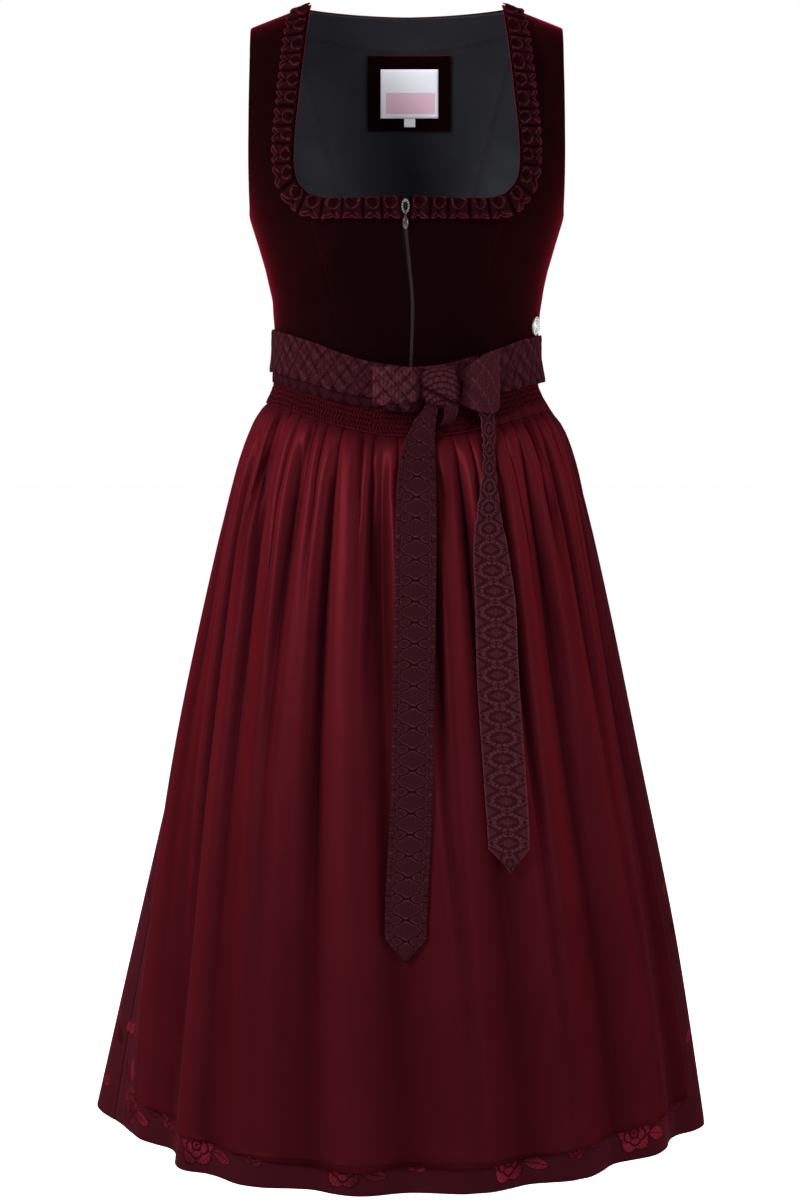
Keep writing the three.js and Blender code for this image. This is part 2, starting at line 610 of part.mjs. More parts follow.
// Tie wound round the waist over the waistband, open behind the right loop of the bow.
function sash() {
  const columns = 76;
  const levels = [-1, -0.5, 0, 0.5, 1].map((share) => (share * TIE_WIDTH) / 2);
  const off = (above) => mix(4.8, 1, (above + TIE_WIDTH / 2) / TIE_WIDTH);
  const angle = (c) => mix(SASH_END_ANGLE + SASH_OPEN, SASH_END_ANGLE + 360 - SASH_OPEN, c / columns);
  const outer = Array.from({ length: columns + 1 }, (_, c) =>
    levels.map((above, k) => waistPoint(angle(c), above, off(above) + TIE_CLOTH + quiltRise(c, k))),
  );
  const inner = Array.from({ length: columns + 1 }, (_, c) =>
    [levels[0], levels[levels.length - 1]].map((above) => waistPoint(angle(c), above, off(above))),
  );
  add("waist_tie", wall(outer, inner), quilted);
}

// Ribbon along stations. Each has its middle, the direction across it, its face direction and its width.
function ribbon(name, stations, thickness, quiltFrom = 0) {
  const shares = [-1, -0.5, 0, 0.5, 1];
  const at = (s, share, lift) =>
    s.middle.clone().addScaledVector(s.across, (share * s.width) / 2).addScaledVector(s.face, lift);
  const outer = stations.map((s, k) =>
    shares.map((share, j) => at(s, share, thickness + (k >= quiltFrom ? quiltRise(k, j) * (s.quilt ?? 1) : 0))),
  );
  const inner = stations.map((s) => [at(s, -1, 0), at(s, 1, 0)]);
  add(name, wall(outer, inner), quilted);
}

// Loop of the bow, seen from above as a path that leaves the knot, turns back at its end and returns.
function bowLoop(name, path) {
  const curve = new THREE.CatmullRomCurve3(path.map((p) => point(p.x, p.y, (p.top + p.low) / 2)));
  const widths = path.map((p) => ({ step: path.indexOf(p) / (path.length - 1), width: p.top - p.low }));
  const count = 20;
  const stations = Array.from({ length: count + 1 }, (_, k) => {
    const t = k / count;
    const middle = curve.getPoint(t);
    const heading = curve.getTangent(t);
    const face = point(heading.y, -heading.x, 0).normalize();
    const { width } = along(widths, "step", t);
    return { middle, across: point(0, 0, 1), face, width };
  });
  const centre = stations.reduce((sum, s) => sum.add(s.middle), point(0, 0, 0)).divideScalar(count + 1);
  const outwards = stations.reduce((sum, s) => sum + s.face.dot(s.middle.clone().sub(centre)), 0);
  if (outwards < 0) stations.forEach((s) => s.face.negate());
  ribbon(name, stations, 1.5);
}

const LOOP_LEFT = [
  { x: 17, y: -104, top: -335, low: -350 },
  { x: 11, y: -105, top: -333.5, low: -351 },
  { x: -6, y: -109, top: -326, low: -355 },
  { x: -22, y: -107.6, top: -324, low: -357 },
  { x: -27, y: -103.4, top: -324, low: -357.5 },
  { x: -21, y: -96.7, top: -324.5, low: -357.5 },
  { x: -6, y: -97.4, top: -326.5, low: -357 },
  { x: 11, y: -98.4, top: -333, low: -351 },
  { x: 17, y: -98.6, top: -335, low: -350 },
];
const LOOP_RIGHT = [
  { x: 41, y: -103, top: -335, low: -350 },
  { x: 48, y: -104.2, top: -333, low: -351 },
  { x: 62, y: -104, top: -316, low: -353 },
  { x: 73, y: -97.4, top: -312, low: -352 },
  { x: 77.5, y: -88.5, top: -312, low: -351 },
  { x: 71, y: -83.4, top: -314, low: -350 },
  { x: 58, y: -88.4, top: -319, low: -350 },
  { x: 48, y: -95, top: -333, low: -350.5 },
  { x: 41, y: -97.4, top: -335, low: -350 },
];

// Knot of the bow: one turn of the ribbon over the middle, open towards the waist.
function bowKnot() {
  const count = 10;
  const middleZ = (KNOT.top + KNOT.low) / 2;
  const stations = Array.from({ length: count + 1 }, (_, k) => {
    const t = radians(mix(98, -72, k / count));
    const face = point(0, -Math.cos(t) * (KNOT.top - KNOT.low), Math.sin(t) * (KNOT.back - KNOT.front) * 1.2).normalize();
    const middle = point(
      (KNOT.left + KNOT.right) / 2,
      KNOT.back + (KNOT.front - KNOT.back) * Math.cos(t),
      middleZ + ((KNOT.top - KNOT.low) / 2) * Math.sin(t),
    );
    return { middle, across: point(1, 0, -0.06 - 0.0006 * k * k).normalize(), face, width: KNOT.right - KNOT.left };
  });
  ribbon("bow_knot", stations, 1.6);
}

// Column of the skirt whose surface shows at x on a ring, found between the apron's edges.
function columnAt(x, ring) {
  let low = 4;
  let high = APRON_COLUMNS - 4;
  const smoothRing = { ...ring, gather: 0 };
  for (let k = 0; k < 30; k += 1) {
    const middle = (low + high) / 2;
    if (skirtPoint(middle, smoothRing).x < x) low = middle;
    else high = middle;
  }
  return (low + high) / 2;
}

// How far forward the apron comes near x and z, over the width of a tie.
function apronFront(x, z, halfWidth) {
  let nearest = 0;
  for (const share of [-1, -0.5, 0, 0.5, 1]) {
    const ringZ = z - 6;
    const ring = along(SKIRT, "z", ringZ);
    const p = skirtPoint(columnAt(x + share * halfWidth, ring), { ...ring, gather: 0 });
    nearest = Math.min(nearest, p.y - ring.gather * 1.3);
  }
  return nearest - LAY_GAP - APRON_CLOTH;
}

// Hanging ends of the tie: height, middle, width seen and how far the ribbon is turned, in degrees.
const TAIL_LEFT = [
  { z: -348, x: 23.5, width: 12, turn: 0, y: -99.8 },
  { z: -359, x: 22, width: 13, turn: 0, y: -100.8 },
  { z: -372, x: 16, width: 20, turn: 0, y: -102.6 },
  { z: -392, x: 11, width: 28, turn: 0, y: -105.5 },
  { z: -420, x: 9, width: 33, turn: 0 },
  { z: -454, x: 8, width: 36, turn: 0 },
  { z: -507, x: 7.5, width: 36.5, turn: 0 },
  { z: -608, x: 5.7, width: 36.5, turn: 0 },
  { z: -698, x: 4, width: 37, turn: 0 },
  { z: -790, x: -0.4, width: 37, turn: 0 },
  { z: -814, x: -0.8, width: 36, turn: 0 },
  { z: -833, x: -1.2, width: 3, turn: 0 },
];
const TAIL_RIGHT = [
  { z: -345, x: 65, width: 9, turn: 20, y: -87 },
  { z: -358, x: 68, width: 13, turn: 28, y: -88.6 },
  { z: -375, x: 71.5, width: 15, turn: 35, y: -93 },
  { z: -406, x: 72, width: 14, turn: 40, y: -104.5 },
  { z: -455, x: 71.5, width: 24, turn: 25 },
  { z: -481, x: 73.2, width: 31, turn: 12 },
  { z: -529, x: 77.4, width: 35.5, turn: 4 },
  { z: -576, x: 79, width: 36.5, turn: 0 },
  { z: -619, x: 81.3, width: 37, turn: 0 },
  { z: -701, x: 86.7, width: 37, turn: 0 },
  { z: -741, x: 88.9, width: 36, turn: 0 },
  { z: -759, x: 90.3, width: 3, turn: 0 },
];

function tieTail(name, table) {
  const top = table[0].z;
  const shoulder = table[table.length - 2].z;
  const count = Math.round((top - shoulder) / (QUILT_PITCH / 2));
  const heights = Array.from({ length: count + 1 }, (_, k) => mix(top, shoulder, k / count));
  heights.push(table[table.length - 1].z);
  const rest = (row) => row.y ?? apronFront(row.x, row.z, row.width / 2) - LAY_GAP;
  const depths = table.map((row) => ({ z: row.z, y: rest(row) }));
  for (let k = table.length - 4; k > 3; k -= 1) depths[k].y = Math.min(depths[k].y, (depths[k - 1].y + depths[k + 1].y) / 2 + 3);
  const stations = heights.map((z, k) => {
    const row = along(table.map(({ z: zz, x, width, turn }) => ({ z: zz, x, width, turn })), "z", z);
    const y = Math.min(along(depths, "z", z).y, z < -425 ? apronFront(row.x, z, row.width / 2) - LAY_GAP : 0);
    const slope = (along(depths, "z", z - 5).y - along(depths, "z", z + 5).y) / -10;
    const turn = radians(row.turn);
    const across = point(Math.cos(turn), Math.sin(turn), 0);
    const face = point(Math.sin(turn), -Math.cos(turn), slope).normalize();
    return { middle: point(row.x, y, z), across, face, width: row.width, quilt: k === heights.length - 1 ? 0 : 1 };
  });
  ribbon(name, stations, TIE_CLOTH, 2);
}

// Place on the front beside the neck edge: a share of the way along it and a distance out from it.
const neckCurve = new THREE.CatmullRomCurve3(NECK_EDGE.map(({ x, z }) => point(x, 0, z)));
function besideNeck(share, out, side) {
  const on = (t) => {
    const p = neckCurve.getPointAt(clamp(t, 0, 1));
    const place = torsoPlace(p.x * side, p.z, -1);
    if (t >= 1) place.level = 2;
    return place;
  };
  const step = 0.01;
  const here = on(share);
  const ahead = on(Math.min(share + step, 1));
  const behind = on(Math.max(share - step, 0));
  const at = torso(here.angle, here.level, -1);
  const heading = torso(ahead.angle, ahead.level, -1).sub(torso(behind.angle, behind.level, -1)).normalize();
  const levelStep = here.level > 1.9 ? -0.01 : 0.01;
  const perAngle = torso(here.angle + 0.5, here.level, -1).sub(at).divideScalar(0.5);
  const perLevel = torso(here.angle, here.level + levelStep, -1).sub(at).divideScalar(levelStep);
  const n = torsoNormal(here.angle, here.level, -1);
  const away = n.clone().cross(heading).normalize();
  if (away.x * at.x + away.z * (at.z - NECK_MIDDLE_Z) < 0) away.negate();
  const gram = [perAngle.dot(perAngle), perAngle.dot(perLevel), perLevel.dot(perLevel)];
  const det = gram[0] * gram[2] - gram[1] * gram[1];
  const right = [away.dot(perAngle) * out, away.dot(perLevel) * out];
  const dAngle = (right[0] * gram[2] - right[1] * gram[1]) / det;
  const dLevel = (gram[0] * right[1] - gram[1] * right[0]) / det;
  const spot = torso(here.angle + dAngle, Math.min(here.level + dLevel, 2), -1);
  return { spot, n };
}

// Gathered neck trim: box pleats pinched at the middle of both edges, in a row round the neck edge.
function neckTrim(name, side, start) {
  const steps = 4;
  const shares = [0.03, 0.27, 0.5, 0.75, 1];
  const profile = [
    { reach: 0.82, rise: [1, 1.3, 1.3, 1.3, 1] },
    { reach: 1, rise: [2.4, 4.2, 3.4, 4.2, 2.2] },
    { reach: 0.9, rise: [1.3, 2.8, 5, 2.6, 1.3] },
    { reach: 1, rise: [2.4, 4.2, 3.4, 4.2, 2.2] },
  ];
  const count = TRIM_MOTIFS * steps;
  const outer = [];
  const inner = [];
  for (let k = 0; k <= count; k += 1) {
    const share = mix(start, 1, k / count);
    const shape = profile[k % steps];
    outer.push(
      shares.map((d, j) => {
        const { spot, n } = besideNeck(share, d * TRIM_WIDTH * shape.reach, side);
        return spot.addScaledVector(n, LAY_GAP + shape.rise[j]);
      }),
    );
    inner.push(
      [shares[0], 1].map((d) => {
        const { spot, n } = besideNeck(share, d * TRIM_WIDTH * shape.reach, side);
        return spot.addScaledVector(n, LAY_GAP);
      }),
    );
  }
  add(name, wall(outer, inner), velvet);
}

// Zip between the centre fronts, from the neck edge to the waist seam.
function zip() {
  const top = -177;
  const low = -340.5;
  const rows = 12;
  const faceAt = (depth) =>
    Array.from({ length: rows + 1 }, (_, r) => {
      const z = mix(low, top, r / rows);
      return [-1, 0, 1].map((share) => {
        const x = zipX(z) + share * ZIP_HALF;
        const place = torsoPlace(x, z, -1);
        const p = torso(place.angle, place.level, -1);
        return point(x, p.y + depth - (share === 0 ? 0.5 : 0), z);
      });
    });
  add("zip_chain", wall(faceAt(0.5), faceAt(2)), zipCoil);
}

// Solid for manifold-3d from a three.js geometry with merged corners.
function solid(geometry) {
  const source = geometry.index ? geometry.toNonIndexed() : geometry;
  const position = source.getAttribute("position");
  const seen = new Map();
  const vertices = [];
  const index = [];
  for (let k = 0; k < position.count; k += 1) {
    const v = [position.getX(k), position.getY(k), position.getZ(k)];
    const key = v.map((value) => Math.round(value * 2000)).join();
    if (!seen.has(key)) {
      seen.set(key, seen.size);
      vertices.push(...v);
    }
    index.push(seen.get(key));
  }
  const triangles = [];
  for (let k = 0; k < index.length; k += 3) {
    const [a, b, c] = index.slice(k, k + 3);
    if (a !== b && b !== c && a !== c) triangles.push(a, b, c);
  }
  const mesh = new wasm.Mesh({
    numProp: 3,
    vertProperties: new Float32Array(vertices),
    triVerts: new Uint32Array(triangles),
  });
  return new wasm.Manifold(mesh);
}

function joined(...geometries) {
  const whole = geometries.map(solid).reduce((a, b) => a.add(b));
  const mesh = whole.getMesh();
  const geometry = new THREE.BufferGeometry();
  geometry.setAttribute("position", new THREE.BufferAttribute(new Float32Array(mesh.vertProperties), 3));
  geometry.setIndex(new THREE.BufferAttribute(new Uint32Array(mesh.triVerts), 1));
  geometry.computeVertexNormals();
  return geometry;
}

function ovalShape(halfWide, halfHigh) {
  const shape = new THREE.Shape();
  shape.absellipse(0, 0, halfWide, halfHigh, 0, Math.PI * 2);
  return shape;
}

const SLIDER = { x: -1.2, z: -183.5, halfWide: 3.5, halfHigh: 6.5, plate: 1.6, ringBack: 3.1, ringThick: 1.2, bar: 1.2 };
const PULL = { eyeHole: 1.05, eyeRim: 0.75, eyeWide: 1.3, length: 13, halfWide: 2.7, flat: 0.5 };
const sliderFront = torso(torsoPlace(SLIDER.x, SLIDER.z, -1).angle, torsoPlace(SLIDER.x, SLIDER.z, -1).level, -1).y - 1.1;
const pivot = point(
  SLIDER.x,
  sliderFront - SLIDER.ringBack - SLIDER.ringThick / 2,
  SLIDER.z - SLIDER.halfHigh + SLIDER.bar / 2,
);

// Extruded outline laid in the XZ plane, its depth running from y = back towards -Y.
function upright(shape, depth, back) {
  const geometry = new THREE.ExtrudeGeometry(shape, { depth, bevelEnabled: false, curveSegments: 10 });
  return geometry.rotateX(Math.PI / 2).translate(0, back, 0);
}

// Slider: a plate on the coil with an open oval ring before it, whose lower bar carries the pull.
function zipSlider() {
  const plate = upright(ovalShape(SLIDER.halfWide - 0.6, SLIDER.halfHigh - 1.2), SLIDER.plate, 0);
  const ringShape = ovalShape(SLIDER.halfWide, SLIDER.halfHigh);
  ringShape.holes.push(ovalShape(SLIDER.halfWide - SLIDER.bar, SLIDER.halfHigh - SLIDER.bar));
  const ring = upright(ringShape, SLIDER.ringThick, -SLIDER.ringBack);
  const post = new THREE.BoxGeometry(2.4, SLIDER.ringBack + 0.4, 2.2);
  post.translate(0, -SLIDER.ringBack / 2 - 0.3, SLIDER.halfHigh - 2.4);
  const slider = add("zip_slider", joined(plate, ring, post), lacquer);
  slider.position.set(SLIDER.x, sliderFront, SLIDER.z);
}

// Pull: an eye round the bar and a drop below it.
function zipPull() {
  const rim = PULL.eyeHole + PULL.eyeRim;
  const eyeShape = new THREE.Shape().absarc(0, 0, rim, 0, Math.PI * 2);
  eyeShape.holes.push(new THREE.Path().absarc(0, 0, PULL.eyeHole, 0, Math.PI * 2));
  const eye = new THREE.ExtrudeGeometry(eyeShape, { depth: PULL.eyeWide, bevelEnabled: false, curveSegments: 10 });
  eye.translate(0, 0, -PULL.eyeWide / 2).rotateY(Math.PI / 2);
  const drop = [];
  const steps = 10;
  for (let k = 0; k <= steps; k += 1) {
    const t = k / steps;
    const radius = PULL.halfWide * Math.sin(Math.PI * t ** 0.8) ** 0.9;
    drop.push(new THREE.Vector2(k === 0 || k === steps ? 0 : Math.max(radius, 0.5), -PULL.length * (1 - t)));
  }
  const body = new THREE.LatheGeometry(drop, 12);
  body.rotateX(Math.PI / 2).scale(1, PULL.flat, 1).translate(0, 0, -rim + 0.4);
  const pull = add("zip_pull", joined(eye, body), lacquer);
  pull.position.copy(pivot);
}

const BADGE = { angle: 73, z: -289.2, radius: 8.4, thick: 1.6, rim: 0.8 };

// Round metal badge on the side front, just above the tie.
function badge() {
  const profile = [
    new THREE.Vector2(0, 0),
    new THREE.Vector2(BADGE.radius, 0),
    new THREE.Vector2(BADGE.radius, BADGE.thick),
    new THREE.Vector2(BADGE.radius - 0.5, BADGE.thick + 0.3),
    new THREE.Vector2(BADGE.radius - BADGE.rim, BADGE.thick),
    new THREE.Vector2(BADGE.radius * 0.5, BADGE.thick - 0.3),
    new THREE.Vector2(0, BADGE.thick + 0.5),
  ];
  const seam = waistline(BADGE.angle) - WAIST_SEAM_BELOW;
  const level = (BADGE.z - seam) / (UNDERARM - seam);
  const at = torso(BADGE.angle, level, -1);
  const beside = torso(BADGE.angle + 1, level, -1).sub(at);
  const above = torso(BADGE.angle, level + 0.02, -1).sub(at);
  const face = beside.cross(above).normalize();
  const disc = add("badge", new THREE.LatheGeometry(profile, 28), silver);
  disc.quaternion.setFromUnitVectors(point(0, 1, 0), face);
  disc.position.copy(at.addScaledVector(face, 0.5));
}

frontCentre("bodice_front_centre_left", -1);
frontCentre("bodice_front_centre_right", 1);
frontSide("bodice_front_side_left", -1);
frontSide("bodice_front_side_right", 1);
backSide("bodice_back_side_left", -1);
backSide("bodice_back_side_right", 1);
backCentre();
backLining();
const patchDepth = VELVET + LINING_GAP + LINING + LABEL_GAP;
backLabel("label_patch", { left: -37.3, right: 42.2, low: -108.2, high: -38.6 }, patchDepth, VELVET, velvet);
const labelDepth = patchDepth + VELVET + LABEL_GAP / 2;
backLabel("woven_label", { left: -25.2, right: 31, low: -95.9, high: -50.3 }, labelDepth, LABEL_CLOTH, whiteLabel);
backLabel("size_tab", { left: -2.2, right: 8.6, low: -104, high: -96.3 }, labelDepth, LABEL_CLOTH, whiteLabel);
neckTrim("neck_trim_left", -1, TRIM_START_LEFT);
neckTrim("neck_trim_right", 1, TRIM_START_RIGHT);
zip();
zipSlider();
zipPull();
badge();
const lastFrontColumn = APRON_COLUMNS + SEAM_COLUMN;
skirtPanel("skirt_front", -SEAM_COLUMN, lastFrontColumn);
skirtPanel("skirt_back", lastFrontColumn, APRON_COLUMNS + BACK_COLUMNS - SEAM_COLUMN);
apronPanel();
smocking();
waistband();
sash();
bowLoop("bow_loop_left", LOOP_LEFT);
bowLoop("bow_loop_right", LOOP_RIGHT);
bowKnot();
tieTail("tie_end_left", TAIL_LEFT);
tieTail("tie_end_right", TAIL_RIGHT);

export default dress;
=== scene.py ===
# Sleeveless dirndl dress with a tied apron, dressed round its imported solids.
# Sizes are in millimetres until a mesh is made, in the frame of the solids.
import math
from types import SimpleNamespace

import bmesh
import bpy
import numpy as np
from mathutils import Matrix, Vector


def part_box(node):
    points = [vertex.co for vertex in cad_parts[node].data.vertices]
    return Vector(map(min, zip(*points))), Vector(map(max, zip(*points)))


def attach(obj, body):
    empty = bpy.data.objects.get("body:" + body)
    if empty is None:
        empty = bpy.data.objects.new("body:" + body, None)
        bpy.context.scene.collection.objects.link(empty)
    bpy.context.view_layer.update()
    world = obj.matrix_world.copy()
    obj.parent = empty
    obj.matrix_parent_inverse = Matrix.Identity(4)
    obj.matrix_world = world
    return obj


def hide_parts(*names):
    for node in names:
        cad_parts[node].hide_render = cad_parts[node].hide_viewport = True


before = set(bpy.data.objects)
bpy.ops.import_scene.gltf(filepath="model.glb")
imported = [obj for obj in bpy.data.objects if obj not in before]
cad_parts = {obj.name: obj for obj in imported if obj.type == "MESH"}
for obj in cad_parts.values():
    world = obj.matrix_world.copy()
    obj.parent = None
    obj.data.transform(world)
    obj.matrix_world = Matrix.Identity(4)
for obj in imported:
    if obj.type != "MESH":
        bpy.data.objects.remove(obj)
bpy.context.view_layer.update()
MM = 0.001

# Camera of the photograph
CAMERA_PLACE = (-6.0, -2600.0, -245.4)
CAMERA_TILT = 0.11377
CAMERA_LENS = 84.73
SENSOR = 36.0
DRESS_MIDDLE = Vector((0, 0, -0.5))


class Table:
    """Short table with named columns, the first of them its key. at() reads them on smooth curves."""

    def __init__(self, names, *rows):
        self.names = names.split()
        rows = np.array(sorted(rows), dtype=float)
        self.keys = rows[:, 0]
        self.columns = {name: rows[:, i] for i, name in enumerate(self.names)}

    def at(self, value):
        value = np.asarray(value, dtype=float)
        last = len(self.keys) - 1
        i = np.clip(np.searchsorted(self.keys, value, side="right") - 1, 0, last - 1)
        t = np.clip((value - self.keys[i]) / (self.keys[i + 1] - self.keys[i]), 0, 1)
        found = {}
        for name, column in self.columns.items():
            a, b, c, d = (column[np.clip(i + k, 0, last)] for k in (-1, 0, 1, 2))
            bend = 2 * a - 5 * b + 4 * c - d + t * (3 * (b - c) + d - a)
            found[name] = b + 0.5 * t * (c - a + t * bend)
        return SimpleNamespace(**found)


# Cloth thicknesses and gaps, as in the solids
VELVET = 1.6
LINING = 0.8
SKIRT_CLOTH = 1.1
APRON_CLOTH = 1.1
TIE_CLOTH = 1.4
LINING_GAP = 2.2
LABEL_GAP = 1.6
LAY_GAP = 0.8

# Bodice. Levels run from 0 at the waist seam over 1 at the underarm to 2 on the shoulder ridge
UNDERARM = -195.0
WAIST_SIDE = -314.6
WAIST_FRONT_DIP = 23.5
WAIST_TILT = 2.6
WAIST_SEAM_BELOW = 3.0
RIDGE_TOP = 27.5
RIDGE_SLOPE = 0.4
RIDGE_ROUND = 20.0
SHOULDER_NECK_X = 86.5
SHOULDER_TIP_X = 141.0
SIDE_SEAM = 90.2
SEAM_LOW = -341.0
SEAM_SINK = 0.3
LINING_REACH = 137.5
LINING_SIDE = 88.0

TORSO = Table(
    "level half front back",
    (0, 118.6, 86, 80),
    (0.17, 120.8, 87.5, 81.5),
    (0.4, 123, 92, 84),
    (0.62, 128.5, 97, 88),
    (0.82, 135.5, 101, 92),
    (1, 142.3, 104, 95),
    (1.1, 149, 104, 96),
    (1.25, 158, 104, 97),
    (1.5, 168, 104, 97),
    (2, 178, 104, 96),
)
BUST = SimpleNamespace(x=58.0, z=-208.0, wide=38.0, high=34.0, out=13.0)

# Skirt. Rows run from the waist seam to the hem, and the last three columns are depths of folds
SKIRT = Table(
    "row z follow half front back centre gather fold broad",
    (0, -317.9, 1, 118.7, 86, 80, 0, 0, 0, 0),
    (1, -343.2, 1, 120.2, 88.3, 83, 1.2, 0, 0, 0),
    (2, -365, 1, 130, 97, 93, 2.5, 0.6, 0, 0),
    (3, -383, 0.85, 138, 105, 102, 2.8, 3, 1.2, 0),
    (4, -418, 0.6, 149, 116, 114, 2.3, 2.9, 3.4, 0.5),
    (5, -470, 0.3, 163, 131, 130, 1.6, 1.1, 4.4, 2),
    (6, -560, 0.1, 184.5, 153, 153, 0, 0.2, 4, 4),
    (7, -690, 0, 213.5, 181, 182, -2.5, 0, 2.6, 6.5),
    (8, -850, 0, 247, 212, 214, -3.3, 0, 1.2, 9),
    (9, -1005, 0, 275.5, 237, 242, -7, 0, 0.6, 10.5),
    (10, -1031, 0, 279.5, 241, 246, -8, 0, 0.6, 11),
)
SMOCK_ROW = 2
HEM_Z = -1031.0

# Places round the skirt: 0 to 1 over the apron and on to ROUND over the back
ROUND = 2.1
APRON_LEFT_TOP = -95.0
APRON_LEFT_HEM = -72.0
APRON_RIGHT = 76.0
APRON_COLUMNS = 48
BACK_COLUMNS = 52
SEAM_COLUMN = 3
HEM_ROLL_ROWS = (0, 1.2, 2.4, 3.8, 5.4, 7)

FOLDS = Table(
    "at rise",
    (0.02, 0.8), (0.1, 0.9), (0.185, 1.3), (0.26, 0.8), (0.345, 1), (0.425, 1.3), (0.555, 1.2), (0.613, 0.9),
    (0.695, 0.9), (0.75, 1.2), (0.85, 1), (0.94, 0.9), (1.02, 0.8), (1.11, 1.1), (1.2, 0.9), (1.27, 1.2),
    (1.37, 1), (1.46, 1.2), (1.53, 0.8), (1.63, 1.1), (1.72, 1.2), (1.8, 0.8), (1.9, 1.1), (1.98, 0.9),
)
BROAD_FOLDS = Table(
    "at rise",
    (0.05, 0.6), (0.185, 0.5), (0.3, 0.4), (0.437, 0.5), (0.584, 0.4), (0.726, 0.5), (0.88, 0.5), (1.03, 0.9),
    (1.19, 0.9), (1.36, 1.2), (1.5, 0.8), (1.66, 1.1), (1.81, 0.9), (1.96, 1),
)
HOLLOWS = ((-62, 16, 34), (52, 20, 9))
HOLLOW_TOP = -480.0

# Edges and seams of the bodice's right half, as x and z
NECK_EDGE = (
    (3.4, -174.6), (20, -175.6), (45, -176.8), (70, -176.4), (86, -172.5), (96.5, -162), (100.5, -146),
    (99.6, -118), (96.3, -88), (92.8, -56), (89.3, -25), (SHOULDER_NECK_X, 0),
)
NECK_CORNER = 4
NECK_MIDDLE_Z = -100.0
ZIP_LINE = Table(
    "z x", (-350, 3.4), (-322, 3.8), (-285, 5), (-261, 4.8), (-225, 1.4), (-200, -0.8), (-170, -1.5)
)
ZIP_HALF = 2.0
ZIP_EDGE = 2.9
BUST_SEAM = (
    (60, SEAM_LOW), (61.5, -312), (64, -285), (68.5, -255), (76, -228), (83, -200), (86, -172.5),
)
ARMHOLE = (
    (142.6, -184), (142.6, -165), (142.5, -142), (142, -115), (141.5, -85), (141, -58), (141, -38),
    (141, -26), (SHOULDER_TIP_X, -21),
)
BACK_SEAM = (
    (38, -317), (39, -285), (41, -250), (45, -215), (53, -180), (65, -146), (82, -112), (104, -82),
    (137.5, -61),
)
BACK_STRAP_ROWS = (-47, -36, -28, -23)
BACK_NECK_DROP = 7.0
NECK_BEND_FROM = 1.5

# Ties, apron band, shirring and neck trim
TIE_WIDTH = 38.0
QUILT_PITCH = 18.4
BAND_BELOW = 29.0
SMOCK_TOP_BELOW = 14.0
SMOCK_BELOW = 48.6
LOZENGE_PITCH = 12.5
TRIM_WIDTH = 20.0
TRIM_MOTIFS = 16


def mix(a, b, t):
    return a + (b - a) * t


def smooth_step(low, high, value):
    t = np.clip((value - low) / (high - low), 0, 1)
    return t * t * (3 - 2 * t)


def bump(value, middle, wide):
    """Soft bell of height 1."""
    return np.exp(-(((value - middle) / wide) ** 2))


def uneven(value, seed):
    """Smooth made-up unevenness between -1 and 1 along a line, the same in each run."""
    return (
        np.sin(value * 1.7 + seed * 5.1) * 0.5
        + np.sin(value * 3.1 + seed * 2.3) * 0.3
        + np.sin(value * 5.9 + seed * 9.7) * 0.2
    )


def stack(*parts):
    return np.stack(np.broadcast_arrays(*parts), axis=-1)


def unit(v):
    return v / np.maximum(np.linalg.norm(v, axis=-1, keepdims=True), 1e-9)


# Form of the bodice
def waistline(angle):
    front = np.maximum(np.cos(np.radians(angle)), 0)
    return WAIST_SIDE - WAIST_FRONT_DIP * front**3 - WAIST_TILT * np.sin(np.radians(angle))


def ridge(x):
    return RIDGE_TOP - RIDGE_SLOPE * (np.hypot(x, RIDGE_ROUND) - RIDGE_ROUND)


def torso(angle, level, facing):
    """Point of the bodice's outer side. Facing is -1 on the front and 1 on the back."""
    form = TORSO.at(level)
    a = np.radians(angle)
    x = form.half * np.sin(a)
    deep = (form.front if facing < 0 else form.back) * np.cos(a)
    seam = waistline(angle if facing < 0 else 180 - angle) - WAIST_SEAM_BELOW
    arch = np.radians(90 * np.clip(level - 1, 0, 1))
    z = np.where(level <= 1, mix(seam, UNDERARM, level), mix(UNDERARM, ridge(x), np.sin(arch)))
    deep = deep * np.cos(arch)
    if facing < 0:
        out = bump(np.abs(x), BUST.x, BUST.wide) * bump(z, BUST.z, BUST.high)
        deep = deep + BUST.out * out * np.cos(a)
    return stack(x, facing * deep, z)


def torso_normal(angle, level, facing):
    low = np.clip(level - 0.01, 0, 1.97)
    up = torso(angle, low + 0.02, facing) - torso(angle, low, facing)
    held = np.minimum(level, 1.985)
    across = torso(angle + 0.5, held, facing) - torso(angle - 0.5, held, facing)
    return -facing * unit(np.cross(across, up))


def torso_place(x, z, facing):
    """Angle and level of the bodice point that is seen at x and z."""
    x, z = np.broadcast_arrays(np.asarray(x, float), np.asarray(z, float))
    level = np.ones_like(x)
    for _ in range(14):
        half = TORSO.at(level).half
        angle = np.degrees(np.arcsin(np.clip(x / half, -1, 1)))
        seam = waistline(angle if facing < 0 else 180 - angle) - WAIST_SEAM_BELOW
        rise = (z - UNDERARM) / (ridge(x) - UNDERARM)
        below = (z - seam) / (UNDERARM - seam)
        above = 1 + np.arcsin(np.clip(rise, 0, 1)) * 2 / math.pi
        level = np.clip(np.where(z <= UNDERARM, below, above), 0, 2)
    return angle, level


def on_curve(points, t):
    """Point of a smooth curve through a short list of points, t from 0 to 1."""
    steps = Table("t x z", *[(i, *p) for i, p in enumerate(points)])
    found = steps.at(np.asarray(t, float) * (len(points) - 1))
    return found.x, found.z


# Form of the skirt
def column_place(column):
    column = np.asarray(column, float)
    back = 1 + (column - APRON_COLUMNS) * (ROUND - 1) / BACK_COLUMNS
    return np.where(column <= APRON_COLUMNS, column / APRON_COLUMNS, back)


